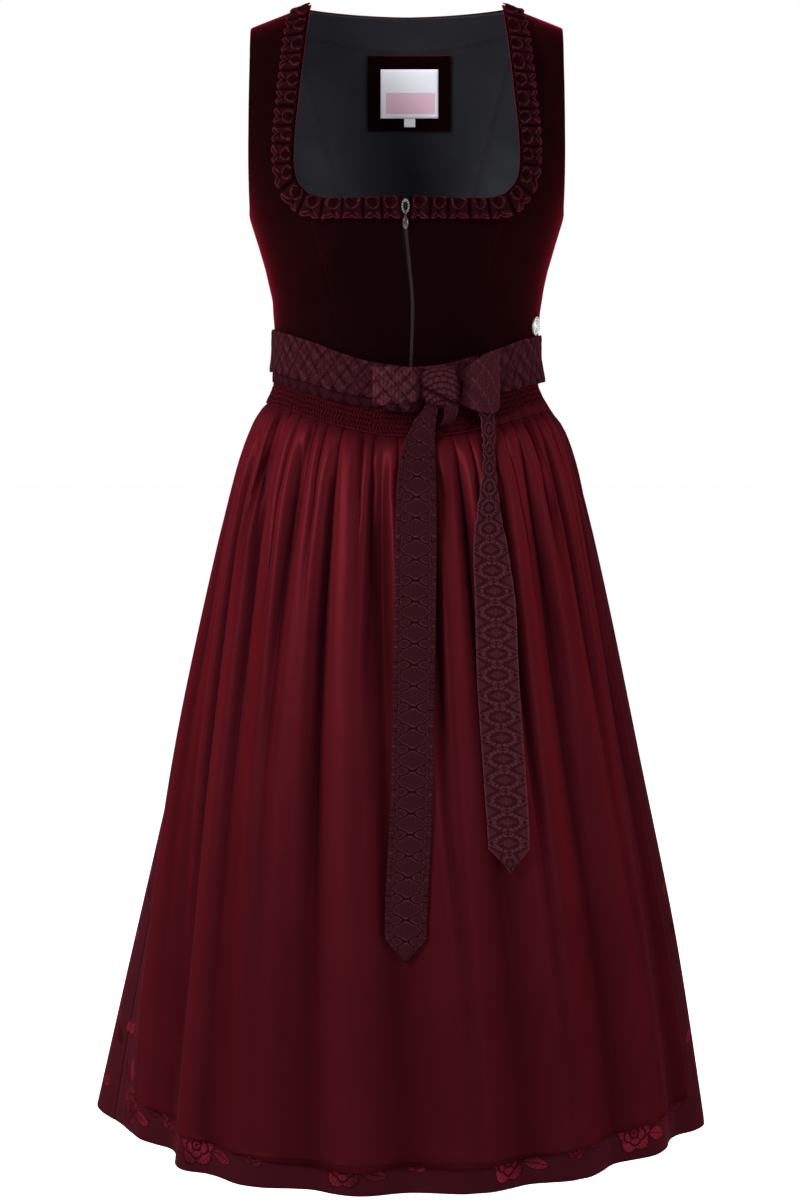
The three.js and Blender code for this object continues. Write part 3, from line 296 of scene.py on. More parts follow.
def skirt_angle(place, down):
    left = mix(APRON_LEFT_TOP, APRON_LEFT_HEM, down)
    turned = np.mod(place, ROUND)
    front = mix(left, APRON_RIGHT, turned)
    back = mix(APRON_RIGHT, left + 360, (turned - 1) / (ROUND - 1))
    return np.where(turned <= 1, front, back) - np.where((place < 0) & (turned > 1), 360, 0)


def crests(table, place, narrow=1.0):
    """Height of folds whose crests are listed in a table. Above 1, narrow makes the troughs tighter."""
    at = table.keys
    rise = table.columns["rise"]
    turned = np.mod(place, ROUND)
    i = np.searchsorted(at, turned, side="right") - 1
    here = at[i]
    after = (i + 1) % len(at)
    gap = np.mod(at[after] - here, ROUND)
    t = np.mod(turned - here, ROUND) / gap
    trough = (0.5 - 0.5 * np.cos(2 * math.pi * t)) ** narrow
    return mix(rise[i], rise[after], t) * (1 - 2 * trough)


def hollow(angle, z):
    turned = np.mod(angle + 180, 360) - 180
    down = np.clip((z - HOLLOW_TOP) / (HEM_Z - HOLLOW_TOP), 0, 1)
    return -sum(deep * down * bump(turned, at, wide) for at, wide, deep in HOLLOWS)


# Creases: place round the skirt, where it starts and ends, width, rise and sideways drift
CREASES = (
    (0.118, -372, -905, 0.0075, 2.6, -0.012),
    (0.132, -380, -880, 0.008, -2.4, -0.014),
    (0.07, -375, -640, 0.008, -1.6, 0.004),
    (0.205, -385, -560, 0.009, -2.2, 0.004),
    (0.232, -380, -520, 0.007, 1.5, -0.003),
    (0.3, -378, -600, 0.009, -2.0, -0.004),
    (0.372, -376, -540, 0.008, 1.6, 0.004),
    (0.392, -376, -860, 0.012, -3.0, 0.004),
    (0.47, -384, -700, 0.010, -2.2, -0.006),
    (0.512, -384, -620, 0.009, 1.7, 0.006),
    (0.585, -380, -720, 0.010, -2.6, 0.006),
    (0.655, -378, -560, 0.009, -1.7, 0.003),
    (0.722, -372, -760, 0.010, -2.3, 0.009),
    (0.79, -372, -600, 0.008, 1.8, 0.006),
    (0.818, -372, -700, 0.009, -2.2, 0.01),
    (0.9, -372, -640, 0.009, -2.0, 0.004),
    (1.06, -350, -700, 0.010, -2.4, 0.0),
    (1.15, -350, -600, 0.009, -2.0, 0.006),
    (1.235, -350, -820, 0.011, -3.0, 0.004),
    (1.32, -350, -640, 0.009, 1.9, -0.006),
    (1.415, -350, -760, 0.010, -2.6, 0.004),
    (1.5, -350, -560, 0.008, -2.0, 0.0),
    (1.585, -350, -860, 0.011, -2.8, -0.006),
    (1.68, -350, -620, 0.009, 1.8, 0.006),
    (1.765, -350, -740, 0.010, -2.4, -0.004),
    (1.86, -350, -660, 0.010, -2.2, 0.004),
    (1.945, -350, -840, 0.011, -2.6, 0.0),
    (2.04, -350, -620, 0.009, -2.0, 0.004),
)
TROUGH_TIGHT = 2.6


def skirt_folds(place, column, ring, angle):
    """How far gathers, folds and creases stand off the plain skirt, with painted light on their crests and
    painted shade in their troughs.
    """
    wander = 0.75 * uneven(column * 0.7, 1) + 0.2 * uneven(ring.z * 0.02 + column * 0.3, 2)
    size = 1 + 0.55 * uneven(column * 0.55, 3)
    trough = ((1 - np.cos(math.pi * (column + wander * np.minimum(ring.gather, 1)))) / 2) ** 3.0
    gathers = ring.gather * size
    folds = ring.fold * crests(FOLDS, place, TROUGH_TIGHT)
    broad = ring.broad * crests(BROAD_FOLDS, place)
    out = gathers * (1 - 2 * trough) + folds + broad + hollow(angle, ring.z)
    # Painted light on the crests and painted shade in the troughs
    tone = 0.36 * gathers * (1 - 3 * trough) + 0.13 * folds + 0.05 * broad
    for at, top, end, wide, rise, drift in CREASES:
        down = np.clip((top - ring.z) / (top - end), 0, 1)
        strength = smooth_step(0, 0.12, down) * (1 - smooth_step(0.55, 1, down))
        away = np.mod(place - at - drift * down + ROUND / 2, ROUND) - ROUND / 2
        crease = rise * strength * bump(away, 0, wide)
        out = out + crease
        tone = tone + 0.25 * crease
    return out, np.clip(tone, -1, 1)


def skirt_place(columns, row):
    ring = SKIRT.at(row)
    place = column_place(columns)
    down = np.clip((ring.z - WAIST_SIDE) / (HEM_Z - WAIST_SIDE), 0, 1)
    return ring, place, skirt_angle(place, down)


def skirt_points(columns, row):
    """Points of the skirt's outer side at columns and rows of one shape."""
    ring, place, angle = skirt_place(columns, row)
    a = np.radians(angle)
    deep = np.where(np.cos(a) > 0, ring.front, ring.back)
    out, _ = skirt_folds(place, columns, ring, angle)
    n = unit(stack(deep * np.sin(a), -ring.half * np.cos(a), 0))
    z = ring.z + ring.follow * (waistline(angle) - WAIST_SIDE)
    return stack(ring.centre + ring.half * np.sin(a), -deep * np.cos(a), z) + n * out[..., None]


def painted_fold_shading(columns, heights):
    ring, place, angle = skirt_place(columns, row_at(heights))
    return skirt_folds(place, columns, ring, angle)[1]


def row_at(z):
    return np.interp(-np.asarray(z, float), -SKIRT.columns["z"], SKIRT.columns["row"])


def skirt_grid(columns, heights):
    """Points and outward directions of the skirt. Heights are z values that rise from the hem."""
    columns, heights = np.broadcast_arrays(columns[None, :], heights)
    points = skirt_points(columns, row_at(heights))
    normal = unit(np.cross(np.gradient(points, axis=1), np.gradient(points, axis=0)))
    away = points * np.array([1, 1, 0])
    return points, normal * np.sign(np.sum(normal * away, axis=-1, keepdims=True))


def waist_point(angle, above, off):
    """Point round the waist at a height from the waistline, standing off the dress."""
    angle, above, off = np.broadcast_arrays(*(np.asarray(v, float) for v in (angle, above, off)))
    rings = [SKIRT.at(k) for k in (SMOCK_ROW, 1, 0)] + [TORSO.at(0.17)]
    heights = [rings[0].z - WAIST_SIDE, rings[1].z - WAIST_SIDE, -WAIST_SEAM_BELOW, 22.0]
    half, front, back, centre = (
        np.interp(above, heights, [float(getattr(ring, name, 0.0)) for ring in rings])
        for name in ("half", "front", "back", "centre")
    )
    a = np.radians(angle)
    deep = np.where(np.cos(a) > 0, front, back)
    return stack(centre + (half + off) * np.sin(a), -(deep + off) * np.cos(a), waistline(angle) + above)


# Meshes
def length_along(points, axis):
    """Running length of the longest line of a grid: across it on axis 1 and along it on axis 0."""
    steps = np.linalg.norm(np.diff(points, axis=axis), axis=-1)
    longest = int(np.argmax(steps.sum(axis=axis)))
    return np.concatenate([[0], np.cumsum(steps[longest] if axis == 1 else steps[:, longest])]) * MM


def cloth(
    name, points, thick, finish, node, outward=None, inner=None, painted_shading_and_pattern=None
):
    """Thin shell over a grid of points.
    """
    rows, columns = points.shape[:2]
    across = length_along(points, 1)
    along = length_along(points, 0)
    bm = bmesh.new()
    bmesh.ops.create_grid(bm, x_segments=columns - 1, y_segments=rows - 1, size=0.5)
    uv = bm.loops.layers.uv.new("cloth")
    # Vertex attribute of painted light and shade, with some woven pattern, which the finishes turn into
    # colour
    mark = bm.verts.layers.float.new("painted_shading_and_pattern")
    for v in bm.verts:
        c = round((v.co.x + 0.5) * (columns - 1))
        r = round((v.co.y + 0.5) * (rows - 1))
        v[mark] = 0.0 if painted_shading_and_pattern is None else float(painted_shading_and_pattern[r, c])
        v.co = Vector(points[r, c]) * MM
        v.index = r * columns + c
    for face in bm.faces:
        face.smooth = True
        for loop in face.loops:
            r, c = divmod(loop.vert.index, columns)
            loop[uv].uv = (across[c], along[r])
    bm.normal_update()
    lean = 0.0
    for face in list(bm.faces)[:: max(1, len(bm.faces) // 200)]:
        middle = face.calc_center_median()
        away = Vector(outward) if outward else Vector((middle.x, middle.y, 0.2 * max(middle.z, -0.2)))
        lean += face.normal.dot(away)
    if lean < 0:
        bmesh.ops.reverse_faces(bm, faces=bm.faces)
    piece = finish_mesh(name, bm, [finish] + ([inner] if inner else []), node)
    shell = piece.modifiers.new("thickness", "SOLIDIFY")
    shell.thickness = thick * MM
    shell.offset = -1
    shell.use_even_offset = False
    shell.material_offset = 1 if inner else 0
    return piece


def mesh_object(name, bm, finishes):
    mesh = bpy.data.meshes.new(name)
    bm.to_mesh(mesh)
    bm.free()
    for finish in finishes:
        mesh.materials.append(finish)
    piece = bpy.data.objects.new(name, mesh)
    bpy.context.scene.collection.objects.link(piece)
    return piece


def finish_mesh(name, bm, finishes, node=None):
    piece = mesh_object(name, bm, finishes)
    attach(piece, "dress")
    if node:
        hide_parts(node)
    return piece


# Finishes
class Finish:
    """Material whose nodes are made one by one."""

    def __init__(self, name, colour, roughness, **settings):
        self.material = bpy.data.materials.new(name)
        self.material.use_nodes = True
        self.tree = self.material.node_tree
        self.shader = self.tree.nodes["Principled BSDF"]
        self.set(self.shader, {"Base Color": (*colour, 1), "Roughness": roughness, **settings})

    def set(self, node, values):
        for name, value in values.items():
            if isinstance(value, bpy.types.NodeSocket):
                self.tree.links.new(value, node.inputs[name])
            else:
                node.inputs[name].default_value = value
        return node

    def add(self, kind, values=None, **settings):
        node = self.tree.nodes.new(kind)
        for name, value in settings.items():
            setattr(node, name, value)
        return self.set(node, values or {})

    def math(self, operation, a, b=0.0, c=None):
        node = self.add("ShaderNodeMath", operation=operation)
        for socket, value in zip(node.inputs, (a, b) if c is None else (a, b, c)):
            if isinstance(value, bpy.types.NodeSocket):
                self.tree.links.new(value, socket)
            else:
                socket.default_value = value
        return node.outputs[0]

    def blend(self, amount, a, b):
        node = self.add("ShaderNodeMix", data_type="RGBA")
        for socket, value in zip((node.inputs[0], node.inputs[6], node.inputs[7]), (amount, a, b)):
            if isinstance(value, bpy.types.NodeSocket):
                self.tree.links.new(value, socket)
            else:
                socket.default_value = value if isinstance(value, float) else (*value, 1)
        return node.outputs[2]

    def place(self):
        return self.add("ShaderNodeTexCoord").outputs["Object"]

    def cloth_place(self):
        return self.add("ShaderNodeUVMap", uv_map="cloth").outputs["UV"]

    def noise(self, where, size, detail=3.0, rough=0.5):
        """Noise from 0 to 1 whose grain is about size, in mm."""
        values = {"Vector": where, "Scale": 1000 / size, "Detail": detail, "Roughness": rough}
        return self.add("ShaderNodeTexNoise", values).outputs["Fac"]

    def vector(self, operation, a, b=None, output=0):
        values = {0: a} if b is None else {0: a, 1: b}
        return self.add("ShaderNodeVectorMath", values, operation=operation).outputs[output]

    def parts(self, vector):
        return self.add("ShaderNodeSeparateXYZ", {"Vector": vector}).outputs

    def painted_shading_and_pattern(self):
        """How far the cloth's attribute of painted light, painted shade and pattern lies above 0 and below 0.
        """
        mark = self.add("ShaderNodeAttribute", attribute_name="painted_shading_and_pattern").outputs["Fac"]
        return self.math("MAXIMUM", mark, 0.0), self.math("MAXIMUM", self.math("MULTIPLY", mark, -1.0), 0.0)

    def feed(self, name, socket):
        self.tree.links.new(socket, self.shader.inputs[name])

    def colour(self, socket):
        self.feed("Base Color", socket)

    def bump(self, height, distance, strength=1.0):
        """Bump whose height of 1 stands for distance, in mm."""
        values = {"Height": height, "Distance": distance * MM, "Strength": strength}
        node = self.add("ShaderNodeBump", values)
        before = self.shader.inputs["Normal"]
        if before.is_linked:
            self.tree.links.new(before.links[0].from_socket, node.inputs["Normal"])
        self.tree.links.new(node.outputs["Normal"], before)


def shaded(colour, share):
    return tuple(share * c for c in colour)


def sheen(weight, rough, tint, metallic=0.0, edge=(1, 1, 1)):
    """Shader settings of a cloth with a sheen and no plain reflection."""
    return {
        "Sheen Weight": weight, "Sheen Roughness": rough, "Sheen Tint": (*tint, 1),
        "Specular IOR Level": 0.0, "Specular Tint": (*edge, 1), "Metallic": metallic,
    }


def velvet_finish(name, dark, light, grazing, crest=None):
    """Dark pile, bright at grazing angles. A crest colour is a painted highlight where the attribute is above
    0, and painted shade darkens the pile where it is below 0.
    """
    f = Finish(name, dark, 0.9, **sheen(1.0, 0.33, grazing))
    where = f.place()
    patches = f.noise(where, 45, 4.0, 0.55)
    pile = f.blend(patches, dark, light)
    if crest:
        # Painted highlight on the raised crests, flecked by noise, and painted shade in the sunk places
        raised, sunk = f.painted_shading_and_pattern()
        painted_crest_light = f.math("MULTIPLY", raised, f.noise(where, 3, 2.0))
        pile = f.blend(painted_crest_light, f.blend(sunk, pile, shaded(dark, 0.2)), crest)
    f.colour(pile)
    f.bump(f.noise(where, 0.9, 3.0), 0.12, 0.5)
    f.bump(f.noise(where, 14, 3.0), 0.5, 0.35)
    return f.material


def lining_finish():
    """Smooth blue-grey satin with painted shade where its attribute marks a seam or the facing's edge."""
    f = Finish(
        "lining_satin", (0.013, 0.0135, 0.017), 0.45, **{"Specular IOR Level": 0.06, "Sheen Weight": 0.02}
    )
    where = f.cloth_place()
    plain = f.blend(f.noise(where, 60, 3.0), (0.0085, 0.0088, 0.0112), (0.014, 0.0145, 0.018))
    _, sunk = f.painted_shading_and_pattern()
    f.colour(f.blend(f.math("MULTIPLY", sunk, 0.6), plain, (0.003, 0.003, 0.004)))
    f.bump(f.noise(where, 0.5, 2.0), 0.04, 0.4)
    f.bump(f.noise(f.place(), 38, 3.0, 0.6), 1.1, 0.5)
    return f.material


def satin_finish():
    """Soft satin with painted shade where its attribute is below 0 and painted light on the crests of its
    folds.
    """
    f = Finish(
        "apron_satin", (0.04, 0.0036, 0.006), 0.42,
        **sheen(0.07, 0.4, (0.6, 0.08, 0.12), metallic=0.3, edge=(0.3, 0.05, 0.07)),
    )
    where = f.cloth_place()
    tone = f.noise(where, 70, 3.0)
    raised, sunk = f.painted_shading_and_pattern()
    plain = f.blend(tone, (0.024, 0.0021, 0.0036), (0.036, 0.0031, 0.0052))
    # Painted shade in the fold valleys, then painted light on the crests
    valleys = f.blend(f.math("MULTIPLY", sunk, 0.85), plain, (0.007, 0.0006, 0.0011))
    f.colour(f.blend(f.math("MULTIPLY", raised, 0.6), valleys, (0.062, 0.0052, 0.0083)))
    f.bump(f.noise(where, 0.7, 2.0), 0.05, 0.4)
    f.bump(f.noise(where, 26, 2.0, 0.4), 0.8, 0.25)
    return f.material


def quilted_finish(name, groove, body, rim):
    """Cloth whose attribute runs from painted shade in its grooves at -1 to pale rims at 1: painted
    highlights on the cushions, pale stitches on the crossed pattern.
    """
    f = Finish(name, body, 0.7, **sheen(0.04, 0.4, (0.5, 0.09, 0.13)))
    raised, sunk = f.painted_shading_and_pattern()
    fleck = f.noise(f.cloth_place(), 0.8, 2.0)
    # lit brings in the pale rim colour, and sunk the painted shade of the grooves
    lit = f.math("MULTIPLY", raised, f.math("MULTIPLY_ADD", fleck, 1.4, 0.2))
    ground = f.blend(fleck, shaded(body, 0.6), shaded(body, 1.4))
    f.colour(f.blend(lit, f.blend(sunk, ground, groove), rim))
    f.bump(fleck, 0.12, 0.6)
    return f.material


def motif_place(f, where, x, y, turn, long, wide):
    values = {"Vector": where, "Location": (x, y, 0), "Scale": (long, wide, 1)}
    values["Rotation"] = (0, 0, math.radians(turn))
    return f.add("ShaderNodeMapping", values, vector_type="TEXTURE").outputs[0]


def leaf(f, where, x, y, turn, long, wide):
    """Inside measure of a pointed leaf, above 0 within it, and its places across and along."""
    along, sideways, _ = f.parts(motif_place(f, where, x, y, turn, long, wide))
    across = f.math("ABSOLUTE", sideways)
    belly = f.math("SUBTRACT", 1.0, f.math("POWER", f.math("ABSOLUTE", along), 2.0))
    return f.math("SUBTRACT", belly, across), across, along


def rose(f, where, x, y, turn, size):
    """Inside measure of a rose seen from above, how near a petal's edge is, and its fine veins."""
    local = motif_place(f, where, x, y, turn, size, size)
    along, sideways, _ = f.parts(local)
    radius = f.vector("LENGTH", local, output="Value")
    turned = f.math("ARCTAN2", sideways, along)
    outer = f.math("ABSOLUTE", f.math("COSINE", f.math("MULTIPLY", turned, 2.5)))
    inner = f.math("ABSOLUTE", f.math("SINE", f.math("MULTIPLY", turned, 2.5)))
    inside = f.math("SUBTRACT", f.math("MULTIPLY_ADD", outer, 0.24, 0.76), radius)
    second = f.math("SUBTRACT", radius, f.math("MULTIPLY_ADD", inner, 0.13, 0.47))
    heart = f.math("ABSOLUTE", f.math("SUBTRACT", radius, f.math("MULTIPLY_ADD", outer, 0.06, 0.2)))
    between_outer = f.math("MAXIMUM", f.math("MULTIPLY", outer, radius), f.math("MULTIPLY", second, -9.0))
    between_inner = f.math("MAXIMUM", f.math("MULTIPLY", inner, radius), f.math("MULTIPLY", second, 9.0))
    line = f.math("MINIMUM", f.math("ABSOLUTE", second), f.math("MINIMUM", heart, between_outer))
    line = f.math("MINIMUM", line, between_inner)
    veins = f.math("PINGPONG", f.math("MULTIPLY", turned, 4.3), 0.5)
    return inside, line, veins


# Jacquard motifs in one repeat, in metres. Roses: place, turn and radius. Each rose has leaves round it.
REPEAT_WIDE = 0.15
REPEAT_HIGH = 0.14
WEAVE_SWAY = 0.006
JACQUARD_ROSES = (
    (0.036, 0.024, 20, 0.0195),
    (0.111, 0.094, 140, 0.0195),
    (0.104, 0.027, 75, 0.0105),
    (0.029, 0.101, 10, 0.0105),
)
# Leaves: place, turn, half length, half width and how red the leaf is
JACQUARD_LEAVES = (
    (0.064, 0.019, -12, 0.0135, 0.0062, 0.95),
    (0.058, 0.046, 48, 0.0140, 0.0064, 0.35),
    (0.032, 0.056, 98, 0.0130, 0.0060, 0.9),
    (0.015, 0.050, 140, 0.0120, 0.0056, 0.3),
    (0.082, 0.031, 165, 0.0115, 0.0055, 0.3),
    (0.126, 0.030, 8, 0.0125, 0.0058, 0.85),
    (0.111, 0.050, 70, 0.0115, 0.0054, 0.3),
    (0.108, 0.062, 100, 0.0115, 0.0056, 0.9),
    (0.138, 0.078, -40, 0.0120, 0.0056, 0.3),
    (0.082, 0.084, 200, 0.0135, 0.0062, 0.9),
    (0.086, 0.110, 140, 0.0130, 0.0060, 0.3),
    (0.112, 0.126, 92, 0.0120, 0.0056, 0.85),
    (0.055, 0.098, -5, 0.0120, 0.0056, 0.8),
    (0.030, 0.124, 85, 0.0115, 0.0054, 0.3),
    (0.010, 0.090, 215, 0.0110, 0.0052, 0.85),
)


def jacquard_finish():
    """Matt ground with red roses and leaves whose red shows only in painted highlight patches, and other
    leaves darker.
    """
    ground = (0.0185, 0.0024, 0.004)
    # Dark thread colour of the outlines, veins and darker leaves
    shade = (0.006, 0.0008, 0.0013)
    red = (0.17, 0.012, 0.025)
    f = Finish(
        "skirt_jacquard", ground, 0.5, **sheen(0.08, 0.4, (0.7, 0.1, 0.15), edge=(0.35, 0.05, 0.07))
    )
    uv = f.cloth_place()
    sway = f.add("ShaderNodeTexNoise", {"Vector": uv, "Scale": 28.0, "Detail": 1.0}).outputs["Color"]
    shift = f.vector("SUBTRACT", sway, (0.5, 0.5, 0.5))
    shift = f.vector("MULTIPLY", shift, (WEAVE_SWAY, WEAVE_SWAY, WEAVE_SWAY))
    where = f.vector("MODULO", f.vector("ADD", uv, shift), (REPEAT_WIDE, REPEAT_HIGH, 1))
    figure, dark, redness, leafy = 0.0, 0.0, 0.0, 0.0
    for x, y, turn, long, wide, red_share in JACQUARD_LEAVES:
        inside, across, lengthways = leaf(f, where, x, y, turn, long, wide)
        body = f.math("GREATER_THAN", inside, 0.0)
        rim = f.math("LESS_THAN", inside, 0.14)
        vein = f.math("LESS_THAN", across, 0.07)
        slant = f.math("MULTIPLY_ADD", lengthways, 3.2, f.math("MULTIPLY", across, 1.4))
        ribs = f.math("LESS_THAN", f.math("PINGPONG", slant, 0.5), 0.1)
        ribs = f.math("MULTIPLY", ribs, 0.6)
        lines = f.math("MULTIPLY", body, f.math("MAXIMUM", rim, f.math("MAXIMUM", vein, ribs)))
        tinted = f.math("MULTIPLY", body, red_share)
        if red_share < 0.5:
            leafy = f.math("MAXIMUM", leafy, body)
        figure = f.math("MAXIMUM", figure, body)
        dark = f.math("MAXIMUM", dark, lines)
        redness = f.math("MAXIMUM", redness, tinted)
    for x, y, turn, size in JACQUARD_ROSES:
        inside, line, veins = rose(f, where, x, y, turn, size)
        body = f.math("GREATER_THAN", inside, 0.0)
        rim = f.math("LESS_THAN", inside, 0.07)
        veined = f.math("MULTIPLY", f.math("LESS_THAN", veins, 0.14), 0.5)
        petals = f.math("MAXIMUM", f.math("LESS_THAN", line, 0.05), veined)
        lines = f.math("MULTIPLY", body, f.math("MAXIMUM", rim, petals))
        figure = f.math("MAXIMUM", figure, body)
        keep = f.math("SUBTRACT", 1.0, body)
        leafy = f.math("MULTIPLY", leafy, keep)
        dark = f.math("MAXIMUM", f.math("MULTIPLY", dark, keep), lines)
        redness = f.math("MAXIMUM", f.math("MULTIPLY", redness, keep), f.math("MULTIPLY", body, 0.7))
    # The figures' red shows only where these noise patches paint highlight on them
    patches = f.math("MULTIPLY_ADD", f.noise(uv, 55, 2.0), 3.2, -1.15)
    painted_light_patches = f.math("MULTIPLY_ADD", f.noise(uv, 2.5, 3.0), 1.4, 0.1)
    painted_light_patches = f.math("MULTIPLY", painted_light_patches, f.math("MAXIMUM", patches, 0.12))
    lit_red = f.math("MULTIPLY", redness, painted_light_patches)
    plain = f.blend(f.noise(uv, 30, 2.0), ground, shaded(ground, 1.25))
    plain = f.blend(f.math("MULTIPLY", leafy, 0.6), plain, shade)
    base = f.blend(f.math("MINIMUM", lit_red, 1.0), plain, red)
    f.colour(f.blend(f.math("MULTIPLY", dark, 0.85), base, shade))
    f.feed("Roughness", f.math("MULTIPLY_ADD", figure, -0.14, 0.52))
    f.feed("Metallic", f.math("MULTIPLY_ADD", figure, 0.25, 0.1))
    f.bump(f.math("MULTIPLY_ADD", dark, -0.6, figure), 0.22, 0.5)
    f.bump(f.noise(uv, 0.7, 2.0), 0.06, 0.5)
    return f.material


def place_in_box(f, node):
    """Place from the middle of a solid's box, and half the box's size."""
    corners = list(zip(*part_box(node)))
    middle = tuple((a + b) / 2 for a, b in corners)
    return f.vector("SUBTRACT", f.place(), middle), tuple((b - a) / 2 for a, b in corners)


def slider_finish():
    """Gunmetal with painted shade in its recessed middle and painted glints on its beaded rim."""
    f = Finish("zip_metal", (0.2, 0.17, 0.18), 0.3, Metallic=1.0)
    away, half = place_in_box(f, "zip_slider")
    away = f.vector("DIVIDE", away, (half[0], 1.0, half[2]))
    radius = f.vector("LENGTH", away, output="Value")
    across, _, up = f.parts(away)
    turned = f.math("ARCTAN2", up, across)
    beads = f.math("MULTIPLY_ADD", f.math("SINE", f.math("MULTIPLY", turned, 14.0)), 0.5, 0.5)
    painted_bead_glints = f.blend(beads, (0.06, 0.05, 0.053), (0.45, 0.42, 0.43))
    # Painted shade over the middle of the slider
    f.colour(f.blend(f.math("LESS_THAN", radius, 0.6), painted_bead_glints, (0.012, 0.008, 0.009)))
    f.bump(beads, 0.15, 0.5)
    return f.material


def badge_finish():
    """Worn silver with a raised rim and a plain ring of petals in dark tarnish."""
    f = Finish("badge_silver", (0.5, 0.51, 0.48), 0.45, Metallic=1.0)
    away, _ = place_in_box(f, "badge")
    radius = f.vector("LENGTH", away, output="Value")
    _, forward, up = f.parts(away)
    turned = f.math("ARCTAN2", up, forward)
    petals = f.math("SINE", f.math("MULTIPLY", turned, 5.0))
    rings = f.math("SINE", f.math("MULTIPLY_ADD", radius, 2800.0, f.math("MULTIPLY", petals, 1.2)))
    tarnish = f.math("MULTIPLY", f.math("GREATER_THAN", rings, 0.25), 0.85)
    f.colour(f.blend(tarnish, (0.5, 0.51, 0.48), (0.05, 0.055, 0.05)))
    f.bump(rings, 0.1, 0.4)
    return f.material


# Coloured field of the label, in metres: middle and half size across and then up
LABEL_FIELD = ((0.0281, 0.0232), (0.0142, 0.01))


def label_finish():
    """White label satin with a bare pink field in its lower half."""
    f = Finish("label_satin", (0.72, 0.72, 0.78), 0.5)
    field = 1.0
    for place, (middle, half) in zip(f.parts(f.cloth_place()), LABEL_FIELD):
        away = f.math("ABSOLUTE", f.math("SUBTRACT", place, middle))
        field = f.math("MULTIPLY", field, f.math("LESS_THAN", away, half))
    f.colour(f.blend(field, (0.72, 0.72, 0.78), (0.66, 0.42, 0.53)))
    f.bump(f.noise(f.cloth_place(), 0.6, 2.0), 0.05, 0.5)
    return f.material


def plain_finish(name, colour, roughness, metallic=0.0, grain=1.0, deep=0.05, **settings):
    """One colour that varies a little, with a fine grain whose size and depth are in mm."""
    f = Finish(name, colour, roughness, Metallic=metallic, **settings)
    tone = f.noise(f.place(), 12, 3.0)
    f.colour(f.blend(tone, shaded(colour, 0.85), shaded(colour, 1.15)))
    f.bump(f.noise(f.place(), grain, 2.0), deep, 0.5)
    return f.material


velvet = velvet_finish(
    "bodice_velvet", (0.0022, 0.0006, 0.0007), (0.0042, 0.0009, 0.0011), (0.33, 0.014, 0.032)
)
trim_velvet = velvet_finish(
    "trim_velvet", (0.0055, 0.0013, 0.0018), (0.0105, 0.0022, 0.003), (0.16, 0.013, 0.022),
    crest=(0.11, 0.014, 0.022),
)
lining = lining_finish()
satin = satin_finish()
shirred_satin = quilted_finish(
    "shirred_satin", (0.006, 0.0006, 0.001), (0.02, 0.0018, 0.003), (0.045, 0.004, 0.0065)
)
jacquard = jacquard_finish()
quilted = quilted_finish(
    "tie_brocade", (0.0038, 0.0008, 0.0012), (0.0185, 0.0039, 0.0056), (0.078, 0.022, 0.029)
)
label_white = label_finish()
size_white = plain_finish("size_satin", (0.72, 0.72, 0.78), 0.5)
zip_coil = plain_finish("zip_coil", (0.05, 0.026, 0.028), 0.4, grain=0.5, **{"Specular IOR Level": 0.1})
zip_cloth = plain_finish("zip_tape", (0.008, 0.0035, 0.004), 0.8, grain=0.5, **{"Specular IOR Level": 0.0})
gunmetal = slider_finish()
lacquer = plain_finish("pull_lacquer", (0.03, 0.008, 0.012), 0.15, 0.3, 2.0, 0.01, **{"Coat Weight": 0.8})
silver = badge_finish()


# Bodice
def even_share(count):
    """Shares from 0 to 1, closer together at both ends, where the seams are."""
    t = np.linspace(0, 1, count)
    share = mix(t, 0.5 - 0.5 * np.cos(math.pi * t), 0.55)
    return np.concatenate([[0, 0.0025], share[1:-1], [0.9975, 1]])


def seam_roll(points, normal):
    """Lets the cloth roll down into the seams at its side edges."""
    for edge, inward in ((0, 1), (-1, -1)):
        gap = np.linalg.norm(points - points[:, edge : edge + 1 or None][:, :1], axis=-1)
        points = points - normal * (SEAM_SINK * bump(gap, 0, 1.0))[..., None]
    return points


def velvet_piece(name, points, node, outward=None):
    """Velvet of the bodice, with the lining as its inner side."""
    return cloth(
        name, points, VELVET, velvet, node, outward, inner=lining
    )


def panel(name, start, end, facing, node):
    """Bodice panel between two edges, each given as arrays of angle and level."""
    share = even_share(30)[None, :]
    angle = mix(start[0][:, None], end[0][:, None], share)
    level = mix(start[1][:, None], end[1][:, None], share)
    points = torso(angle, level, facing)
    normal = torso_normal(angle, level, facing)
    for side, inner_side in ((0, 1), (-1, -2)):
        inward = points[:, inner_side] - points[:, side]
        gap = np.linalg.norm(inward, axis=-1)
        points[:, side] += unit(inward) * np.minimum(0.15, 0.5 * gap)[:, None]
    points = seam_roll(points, normal)
    x, z = points[..., 0], points[..., 2]
    drag = 0.5 * uneven(z * 0.05 + x * 0.02, facing) * bump(z, -285, 40) * smooth_step(60, 110, np.abs(x))
    points = points + normal * drag[..., None]
    return velvet_piece(name, points, node)


def edge_places(curve, t, side, facing):
    x, z = on_curve(curve, t)
    return torso_place(side * x, z, facing)


def outer_edge(rows, side, facing, seam_rows, hole_rows, hole):
    """Side seam up to the underarm and then the armhole."""
    r = rows * (seam_rows + hole_rows)
    share = np.clip((r - seam_rows - 1) / (hole_rows - 1), 0, 1)
    hole_angle, hole_level = edge_places(hole, share, side, facing)
    t = np.clip(r - seam_rows, 0, 1)
    angle = mix(side * SIDE_SEAM, hole_angle, t)
    return angle, np.where(r <= seam_rows, r / seam_rows, mix(1.0, hole_level, t))


